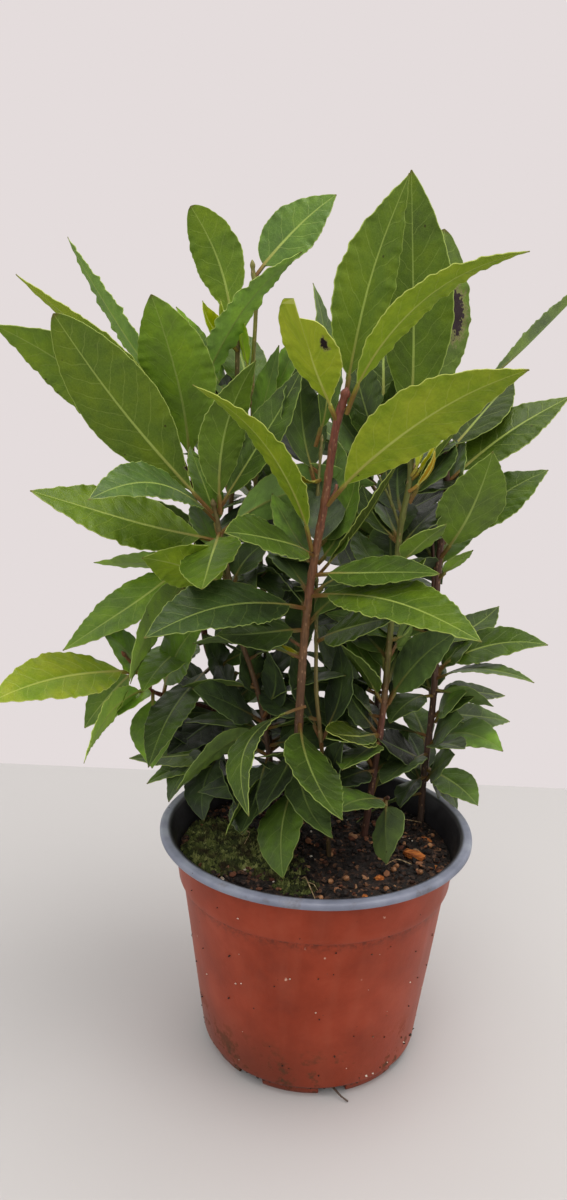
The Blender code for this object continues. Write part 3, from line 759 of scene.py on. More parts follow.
# Stalks whose leaves have fallen: a fork on the middle stem, a stub on the front stem and two dry
# threads between the left stems.
for name, radii, route, nodes, bark in (
        ("middle_fork_long", (0.8, 0.5),
         [(38, 0, 287), (36.4, 0, 293), (33.2, 0.5, 301), (29.8, 1, 308), (22, 2, 322)], (301,),
         middle_stem.bark),
        ("middle_fork_short", (0.6, 0.4),
         [(33.2, 0.5, 301), (31, 1.5, 310), (28.6, 2, 321)], (), middle_stem.bark),
        ("front_stub", (1.0, 0.7), [(0, -28, 304), (3.2, -26.5, 308), (4.4, -26, 313)], (), front_stem.bark),
        ("dry_thread_left", (0.7, 0.5),
         [(-45, 34, 246), (-40.4, 30, 258), (-36, 29, 268), (-38.5, 28, 277)], (262,), left_stem.bark),
        ("dry_thread_right", (0.6, 0.4),
         [(-44, 30, 248), (-34.5, 30, 256), (-31, 30, 263), (-29.3, 30, 271)], (), left_stem.bark)):
    Stem(name, radii, route, nodes, bark, planted=False).grow(bud=False)


def dry_straw():
    """Dead grass and root threads: dull, straw coloured, with a fine grain along them."""
    material, tree, shader = new_finish("dry_straw", roughness=0.8)
    object_place = add(tree, "TexCoord").outputs["Object"]
    grain = add(tree, "TexNoise", object_place, 800, 3)
    colour = add(tree, "ValToRGB", grain, stops=[(0.35, "#6e5638"), (0.55, "#b39a70"), (0.7, "#d0bb92")])
    fill(tree, shader, {"Base Color": colour})
    return material


straw_finish = dry_straw()
for name, radii, route in (
        ("straw_front", (0.35, 0.22),
         [(-6.5, -40, 112), (-4.4, -43, 115.5), (-2.6, -49, 116), (1.2, -59, 113)]),
        ("straw_fork", (0.2, 0.14), [(-3, -48, 115.8), (0.5, -49, 115), (3, -52, 112.5)]),
        ("straw_right", (0.3, 0.2), [(38, -22, 113), (44, -18, 114.5), (52, -20, 113)]),
        ("straw_far", (0.35, 0.2), [(48, 34, 113), (56, 28, 115), (62, 30, 113)]),
        ("straw_left", (0.25, 0.15), [(-40, 4, 116), (-36, -3, 118), (-38, -12, 116)])):
    Stem(name, radii, route, (), straw_finish, planted=False).grow(bud=False)
Stem("root_thread", (0.7, 0.4), [(12.5, -51.5, 2.4), (15, -56.5, 3.4), (18.5, -60.2, 2.3), (22, -61.5, 0.7)],
     (), right_stem.bark, planted=False).grow(bud=False)

# Leaves
# Bay laurel leaves: stiff, leathery, lance-shaped blades on short stalks, with a waved margin,
# a pale midrib and finer side veins. Young ones at the top are yellow green, old ones at the
# bottom dark; the light and shade each leaf gets is painted into its colour, leaf by leaf. Three
# flat blanks are cut, the finest for the big leaves, and every leaf is a copy of one of them that
# is bent to its own shape.

STALK_SHARE = 0.1


def leaf_blank(name, stations, strips):
    """A flat blade of unit size and unit thickness: its upper side at 0 and its lower one at -1."""
    bpy.ops.mesh.primitive_grid_add(x_subdivisions=stations, y_subdivisions=strips, size=2)
    blank = bpy.context.object
    blank.name = name
    thicken = blank.modifiers.new("blade", "SOLIDIFY")
    thicken.thickness = 1
    thicken.offset = -1
    bpy.ops.object.modifier_apply(modifier="blade")
    blank.hide_render = True
    return blank


fine_blank = leaf_blank("fine_leaf_blank", 100, 12)
small_blank = leaf_blank("small_leaf_blank", 64, 8)
plain_blank = leaf_blank("plain_leaf_blank", 26, 6)


def laurel_leaf():
    """A living evergreen leaf with a waxy skin: glossy above, duller and paler below, a net of veins
    under the skin, a thin pale margin, and now and then a dry spot. How light each leaf is comes from
    its painted light and shade, set leaf by leaf."""
    material, tree, shader = new_finish("bay_laurel_leaf", specular=0.2)
    blade = add(tree, "Attribute", attribute_name="blade").outputs["Vector"]
    growth = add(tree, "Attribute", attribute_name="growth").outputs["Vector"]
    lot_run_painted_light = add(tree, "Attribute", attribute_name="lot_run_painted_light").outputs["Vector"]
    scar = add(tree, "Attribute", attribute_name="scar").outputs["Vector"]
    along, across, margin = add(tree, "SeparateXYZ", blade).outputs
    age, upper, tint = add(tree, "SeparateXYZ", growth).outputs
    lot, run, bright = add(tree, "SeparateXYZ", lot_run_painted_light).outputs
    place = add(tree, "CombineXYZ", along, across, lot)
    aside = add(tree, "Math", across, operation="ABSOLUTE")

    # Patterns in mm on the blade: mottling of about 18 mm, grain of 1.5 mm, a net of 1.6 mm.
    mottle = add(tree, "TexNoise", place, 0.055, 3, 0.6)
    fine = add(tree, "TexNoise", place, 0.65, 3)
    net = add(tree, "TexVoronoi", place, 0.62, feature="DISTANCE_TO_EDGE")
    net = add(tree, "MapRange", net, 0.0, 0.10, 1.0, 0.0)

    # Side veins leave the midrib every 10 mm, by turns left and right, and lean towards the tip.
    lean = add(tree, "Math", aside, -0.70, along, operation="MULTIPLY_ADD")
    bend = add(tree, "Math", aside, aside, operation="MULTIPLY")
    bend = add(tree, "Math", bend, -0.022, lean, operation="MULTIPLY_ADD")
    wander = add(tree, "MapRange", mottle, 0, 1, -5.0, 5.0)
    phase = add(tree, "Math", bend, wander, operation="ADD")
    half = add(tree, "Math", across, 0.0, operation="GREATER_THAN")
    phase = add(tree, "Math", phase, 1 / 10.0, operation="MULTIPLY")
    phase = add(tree, "Math", half, 0.5, phase, operation="MULTIPLY_ADD")
    wedge = add(tree, "Math", phase, 0.5, operation="PINGPONG")
    inside = add(tree, "MapRange", margin, 0.8, 4.5)
    vein = add(tree, "MapRange", wedge, 0.0, 0.050, 1.0, 0.0)
    vein = add(tree, "Math", vein, inside, operation="MULTIPLY")
    rib_reach = add(tree, "MapRange", run, 0.0, 0.95, 1.15, 0.30)
    rib = add(tree, "Math", aside, rib_reach, operation="DIVIDE")
    rib = add(tree, "MapRange", rib, 0.5, 1.0, 1.0, 0.0)

    # Age sets the green, and the mottling makes parts of a blade look older or younger.
    drift = add(tree, "MapRange", mottle, 0.3, 0.7, -0.13, 0.13)
    aged = add(tree, "Math", age, drift, operation="ADD", use_clamp=True)
    above = add(tree, "ValToRGB", aged, stops=[
        (0.0, "#232b1e"), (0.25, "#3a4b23"), (0.5, "#526e1f"), (0.75, "#76921e"), (1.0, "#9ca728")])
    below = add(tree, "ValToRGB", aged, stops=[
        (0.0, "#36402c"), (0.25, "#4c5d2d"), (0.5, "#627c24"), (0.75, "#7d931e"), (1.0, "#a0ab2a")])
    green = add(tree, "Mix", upper, below, above, data_type="RGBA")
    # Painted light and shade: each leaf's own factor, with a fine grain, sets how light its green is, for how
    # lit or shaded the leaf stands.
    grain = add(tree, "MapRange", fine, 0.3, 0.7, 0.92, 1.08)
    light = add(tree, "Math", bright, grain, operation="MULTIPLY")
    hue = add(tree, "Math", tint, -0.05, 0.5, operation="MULTIPLY_ADD")
    full = add(tree, "Math", tint, 0.35, 1.0, operation="MULTIPLY_ADD")
    green = add(tree, "HueSaturation", {"Hue": hue, "Saturation": full, "Value": light, "Color": green})

    pale = add(tree, "ValToRGB", age, stops=[(0.0, "#5c7040"), (0.5, "#a2b45c"), (1.0, "#c8cc68")])
    veins = add(tree, "Math", net, 0.30, vein, operation="MULTIPLY_ADD")
    vein_share = add(tree, "Math", veins, 0.22, operation="MULTIPLY")
    skin = add(tree, "Mix", vein_share, green, pale, data_type="RGBA")
    near_stalk = add(tree, "MapRange", run, 0.0, 0.30, 0.55, 0.0)
    rib_colour = add(tree, "Mix", near_stalk, pale, paint("#8a5434"), data_type="RGBA")
    rib_share = add(tree, "MapRange", run, 0.3, 1.0, 0.85, 0.35)
    rib_share = add(tree, "Math", rib, rib_share, operation="MULTIPLY")
    skin = add(tree, "Mix", rib_share, skin, rib_colour, data_type="RGBA")
    edge = add(tree, "MapRange", margin, 0.10, 0.45, 0.80, 0.0)
    skin = add(tree, "Mix", edge, skin, pale, data_type="RGBA")

    # The stalk is flushed with red brown, and the very tip is dry.
    stalk = add(tree, "MapRange", along, 2.0, -5.0, 0.0, 0.75)
    dry_tip = add(tree, "MapRange", run, 0.975, 0.995, 0.0, 0.7)

    # Dry specks of about a millimetre, in about one cell of 9 mm out of four.
    dry_specks = specks(tree, place, 0.11, 0.085, 0.045, 0.74, 0.78, strength=0.75)

    # A dead patch: purple black, with a ragged outline and a faded border.
    scar_x, scar_y, scar_deep = add(tree, "SeparateXYZ", scar).outputs
    scar_far = add(tree, "CombineXYZ", scar_x, scar_y)
    scar_far = add(tree, "VectorMath", scar_far, operation="LENGTH")
    ragged = add(tree, "MapRange", fine, 0.3, 0.7, -0.4, 0.4)
    scar_far = add(tree, "Math", scar_far, ragged, operation="ADD")
    faded = add(tree, "MapRange", scar_far, 1.6, 1.1, 0, 0.6)
    faded = add(tree, "Math", faded, scar_deep, operation="MULTIPLY")
    dead = add(tree, "MapRange", scar_far, 1.05, 0.85)
    dead = add(tree, "Math", dead, scar_deep, operation="MULTIPLY")
    for share, colour in (
            (stalk, "#74462c"), (dry_tip, "#5c4a24"), (dry_specks, "#33260f"), (faded, "#7c7050"),
            (dead, "#24151a")):
        skin = add(tree, "Mix", share, skin, paint(colour), data_type="RGBA")

    gloss = add(tree, "MapRange", upper, 0, 1, 0.56, 0.28)
    gloss = add(tree, "Math", fine, 0.16, gloss, operation="MULTIPLY_ADD")
    pucker = add(tree, "MapRange", wedge, 0.0, 0.5, interpolation_type="SMOOTHSTEP")
    bump = add(tree, "Bump", {"Height": pucker, "Strength": 0.14, "Distance": 0.0012})
    relief = add(tree, "Math", fine, 0.5, veins, operation="MULTIPLY_ADD")
    relief = add(tree, "Math", relief, rib, operation="ADD")
    bump = add(tree, "Bump", {"Height": relief, "Strength": 0.3, "Distance": 0.0005, "Normal": bump})
    fill(tree, shader, {"Base Color": skin, "Roughness": gloss, "Normal": bump})
    return material


leaf_finish = laurel_leaf()


def ripple(run, side, lengths, chance):
    """An irregular wave along both margins: sines of several lengths in mm, out of step on the two sides."""
    waves = [np.sin(run * 2 * pi / (length * chance.uniform(0.85, 1.15)) + chance.uniform(0, 6.3)
                    + side * chance.uniform(1, 5)) for length in lengths]
    return sum(waves) / len(waves) ** 0.5


def grow_leaf(name, stem, row, blank=fine_blank, fold=5, wave=1.0, tint=0.0, hook=0.0, broad=0.42,
              ends=(0.95, 0.95), torn=0.0, scar=None):
    """Bends a copy of the blank into one leaf and sets it on its stem.

    row is the height on the stem, the turn round Z, the rise, the length, the width, the roll, how far
    the midrib bows out of the blade and aside in it in hundredths of the length, the age from 0, old, to
    1, young, which on the upper leaves also paints the glow of light shining through them, and a factor
    of painted light and shade: how lit the leaf looks where it stands, multiplied into its colour. fold
    lifts both halves in degrees, wave scales the margin's waves, tint shifts the green to yellow, hook
    bends the tip down, broad is where the blade is widest, ends are how pointed its foot and tip are,
    torn splits the tip, and scar is a dead patch: its place along and across, its length and its width.
    """
    height, turn, rise, length, width, roll, arch, sickle, age, light = row
    chance = random.Random(name)
    leaf = bpy.data.objects.new(name, blank.data.copy())
    bpy.context.scene.collection.objects.link(leaf)
    mesh = leaf.data
    flat = np.zeros(len(mesh.vertices) * 3)
    mesh.vertices.foreach_get("co", flat)
    x, y, z = flat.reshape(-1, 3).T
    centre, stem_way, radius = stem.at(height)

    root = (radius + 1.0) / length
    t = -root + (x + 1) / 2 * (1 + root)
    u = np.clip((t - STALK_SHARE) / (1 - STALK_SHARE), 0, 1)
    a = np.sign(y) * np.abs(y) ** 1.2
    run = t * length
    side = np.where(y > 0, 1.0, 0.0)
    v = u ** (log(0.5) / log(broad))
    half = 0.5 * width * np.sin(pi * v) ** np.where(v < 0.5, *ends)
    towards_ends = np.minimum(np.minimum(u, 1 - u) * 8, 1)
    half = half + 0.22 * wave * ripple(run, side, (3.3, 5.1, 8.3, 12.7), chance) * towards_ends
    half = np.maximum(half, np.where(t < STALK_SHARE + 0.02, 0.85, 0.3))
    across = a * half
    envelope = np.sin(pi * u) ** 0.5
    lift = 0.016 * width * wave * np.abs(a) ** 3 * ripple(run, side, (5.2, 8.1, 12.4, 19), chance) * envelope
    lift += np.abs(across) * sin(radians(fold)) * envelope
    lift += 0.006 * length * np.sin(t * 5.6 + chance.uniform(0, 6.3)) * envelope
    lift -= 0.35 * np.exp(-(across / 0.8) ** 2) * envelope * (z == 0)
    hooked = np.clip((t - 0.68) / 0.32, 0, 1) ** 2 * hook * length / 100
    thick = 0.36 + np.exp(-(across / 0.9) ** 2) * 0.8 * (1 - u)
    thick = np.where(t < STALK_SHARE, 1.5, thick)
    if torn:
        split = 0.6 * np.exp(-((a + 0.8) / 0.35) ** 2) - np.exp(-((a - 0.05) / 0.26) ** 2)
        t = t + torn * np.clip((u - 0.5) / 0.5, 0, 1) ** 1.3 * split

    bow, slope = 4 * t * (1 - t), 4 * (1 - 2 * t)
    sickle, arch = sickle / 100, arch / 100
    midrib = np.stack([length * t, length * sickle * bow, length * arch * bow - hooked], 1)
    ahead = np.stack([np.ones_like(t), sickle * slope, arch * slope], 1)
    ahead /= np.linalg.norm(ahead, axis=1)[:, None]
    normal = np.cross(ahead, (0.0, 1.0, 0.0))
    normal /= np.linalg.norm(normal, axis=1)[:, None]
    lateral = np.cross(normal, ahead)
    wrung = np.radians(chance.uniform(-7, 7)) * (t - 0.5)
    wring, wring_side = np.cos(wrung)[:, None], np.sin(wrung)[:, None]
    lateral, normal = lateral * wring + normal * wring_side, normal * wring - lateral * wring_side
    shaped = midrib + lateral * across[:, None] + normal * (lift + z * thick)[:, None]

    axes = Euler((radians(roll), -radians(rise), radians(turn))).to_matrix()
    way, level, face = axes.col[0], axes.col[1], axes.col[2]
    outward = (way - stem_way * way.dot(stem_way)).normalized()
    base = centre + outward * (radius + 0.3 + abs(level.dot(outward)) * 0.9 + abs(face.dot(outward)) * 0.4)
    placed = shaped @ np.array(axes).T + np.array(base)
    mesh.vertices.foreach_set("co", (placed * MM).ravel())

    margin = np.maximum(half - np.abs(across), 0) + (t < STALK_SHARE) * 5
    layers = {
        "blade": (run - STALK_SHARE * length, across, margin),
        "growth": (np.full_like(t, age), z + 1, np.full_like(t, tint)),
        # A random lot, the run along the blade, and the leaf's painted light and shade.
        "lot_run_painted_light": (np.full_like(t, chance.uniform(0, 900)), u * (0.97 if torn else 1), np.full_like(t, light)),
    }
    if scar:
        scar_run, scar_across, scar_long, scar_wide = scar
        layers["scar"] = ((run - scar_run) / scar_long, (across - scar_across) / scar_wide, np.ones_like(t))
    for title, columns in layers.items():
        layer = mesh.attributes.new(title, "FLOAT_VECTOR", "POINT")
        layer.data.foreach_set("vector", np.stack(columns, 1).astype(np.float32).ravel())
    mesh.shade_smooth()
    mesh.set_sharp_from_angle(angle=radians(55))
    mesh.materials.append(leaf_finish)
    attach(leaf, "root")
    return leaf


def grow_spray(spray, stem, leaves):
    """Grows the leaves of one stem that the CAD model has too; each stands for its node."""
    for number, row in enumerate(leaves, start=1):
        node = "{}_leaf_{:02d}".format(spray, number)
        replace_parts(grow_leaf(node + "_blade", stem, row[:10], **dict(*row[10:])), node)


# The last number of each row here and in the smaller leaves is painted light and shade: how lit that leaf
# looks where it stands.
# The front stem carries the brightest leaves: a tall one over the middle, a notched yellow one
# left of the tip, two long ones to the right, and below them the broad dark ones.
grow_spray("front", front_stem, [
    (353, 350, 75.6, 98, 37.5, -36, 2, -3, 0.55, 0.85, {"ends": (0.95, 1.05)}),
    (346, 238, 52, 50, 31, -7, -1, -1, 0.88, 1.1,
     {"ends": (0.9, 0.24), "broad": 0.6, "torn": 0.3, "scar": (38, 9, 3, 1.7)}),
    (350, 338, 40, 100, 26, -13, 13, -6, 0.76, 1.25, {"wave": 1.3}),
    (306, 332, 34, 109, 38, -37, 5, -5, 0.82, 1.05, {"broad": 0.46}),
    (283, 214, 49, 98, 24, 4, 10, 4, 0.78, 1.15, {"wave": 1.2}),
    (279, 239, 14, 73, 32, -33, 3, -2, 0.42, 0.75),
    (251, 224, -1, 94, 38, -22, 6, -5, 0.36, 0.65, {"tint": -0.3}),
    (258, 314, -1, 103, 36, 18, 5, 4, 0.56, 0.7),
    (197, 251, -29, 70, 24, 36, 19, -10, 0.44, 0.65),
    (188, 289, -18, 71, 32, -25, -5, -4, 0.35, 0.85),
    (155, 265, -40, 53, 32, 39, 5, -5, 0.32, 1.45),
])
grow_spray("thin", thin_stem, [
    (231, 311, 22, 61, 28, 38, 3, 2, 0.39, 0.9),
])
grow_spray("middle", middle_stem, [
    (330, 206, 86.8, 128, 43, 23, 1, 1, 0.5, 0.8, {"wave": 0.6, "broad": 0.47, "ends": (0.95, 0.85)}),
    (325, 70, 71, 121, 36, -130, -2, 5, 0.4, 0.75,
     {"broad": 0.6, "ends": (1.05, 0.6), "scar": (80, 7, 12, 6)}),
    (195, 337, 51, 57, 28, 52, 5, 4, 0.17, 2.7),
])
grow_spray("right", right_stem, [
    (274, 297, 57, 67, 36, -13, -2, 4, 0.42, 1.15),
    (280, 21, 32, 72, 34, 27, 3, 3, 0.48, 0.8),
    (313, 17, 34, 80, 30, 33, 2, 3, 0.53, 0.5),
    (360, 27, 41, 107, 11, -50, -2, 3, 0.08, 2.6, {"tint": 0.2, "fold": 40, "hook": 7, "wave": 1.4}),
    (208, 339, 20, 61, 28, 28, 9, 6, 0.44, 0.75),
    (164, 321, 8, 45, 26, 21, 12, 9, 0.29, 2.95),
    (146, 315, -15, 37, 26, 9, 5, 4, 0.33, 1.45),
    (262, 72, 26, 66, 28, 0, 8, 0, 0.35, 2.5),
])
grow_spray("left", left_stem, [
    (296, 193, 51, 121, 42, 66, -1, -2, 0.55, 0.75,
     {"wave": 0.6, "broad": 0.5, "ends": (1.15, 0.66), "scar": (24, 6, 1.2, 1)}),
    (295, 328, 74, 78, 28, -16, 6, -6, 0.42, 1.05),
    (284, 14, 17, 86, 30, -64, 7, -8, 0.36, 2.25, {"tint": -0.3}),
    (284, 270, -15, 66, 32, 20, 0, 0, 0.55, 0.85),
    (292, 238, 10, 88, 30, -34, 11, -8, 0.44, 0.75, {"tint": -0.3}),
    (280, 206, 16, 98, 38, -42, -1, 1, 0.62, 0.8),
    (157, 261, -18, 62, 30, 30, -1, 1, 0.08, 1.35),
])
grow_spray("outer_left", outer_left_stem, [
    (312, 243, 69, 97, 42, 15, 1, 4, 0.48, 1.6, {"broad": 0.52, "ends": (0.95, 0.8)}),
    (345, 344, 54, 101, 24, -16, 8, -4, 0.44, 2.8, {"tint": -0.2, "wave": 2.2}),
    (306, 214, 36.6, 131, 42, 41, 4, 5, 0.55, 1.25, {"broad": 0.48}),
    (344, 164, 52, 119, 21, 50, -3, -2, 0.51, 1.45, {"tint": -0.3, "wave": 2.2}),
    (263, 223, -27, 93, 31, -19, -1, 1, 0.54, 1.25),
    (200, 254, -22, 86, 28, 13, 4, -4, 0.26, 1.1),
])
grow_spray("back_left", back_left_stem, [
    (386, 169, 69.6, 73, 30, 79, 4, 6, 0.54, 1, {"broad": 0.54, "ends": (0.95, 0.6)}),
    (300, 140, 48, 72, 30, 0, 8, 0, 0.3, 1),
])
grow_spray("back", back_stem, [
    (419, 10, 45, 60, 31, 60, 1, 4, 0.52, 1, {"tint": -0.2, "broad": 0.42, "ends": (0.75, 0.9)}),
])
grow_spray("far", far_stem, [
    (342, 95, 66, 84, 32, 0, 4, 0, 0.49, 0.45),
    (320, 35, 38, 80, 32, 10, 6, 2, 0.4, 0.85),
    (300, 150, 38, 80, 30, -10, 6, -2, 0.34, 1),
    (262, 78, 40, 40, 26, 0, 8, 2, 0.28, 1),
])
grow_spray("left_twig", left_twig, [
    (207, 232, 2, 89, 34, -28, 4, -4, 0.84, 0.9),
    (187, 318, 54, 62, 28, 84, 4, 5, 0.37, 2.05),
    (195, 257, -12, 76, 22, 76, 8, 4, 0.66, 2.1, {"tint": -0.3}),
])

# Smaller leaves
# The leaves between and behind the big ones, made the same way. Those that show follow the photo
# one by one; the old dark ones that fill the middle of the plant follow a seeded rule.


def join_leaves(name, leaves):
    select_only(*leaves)
    bpy.ops.object.join()
    bpy.context.object.name = name


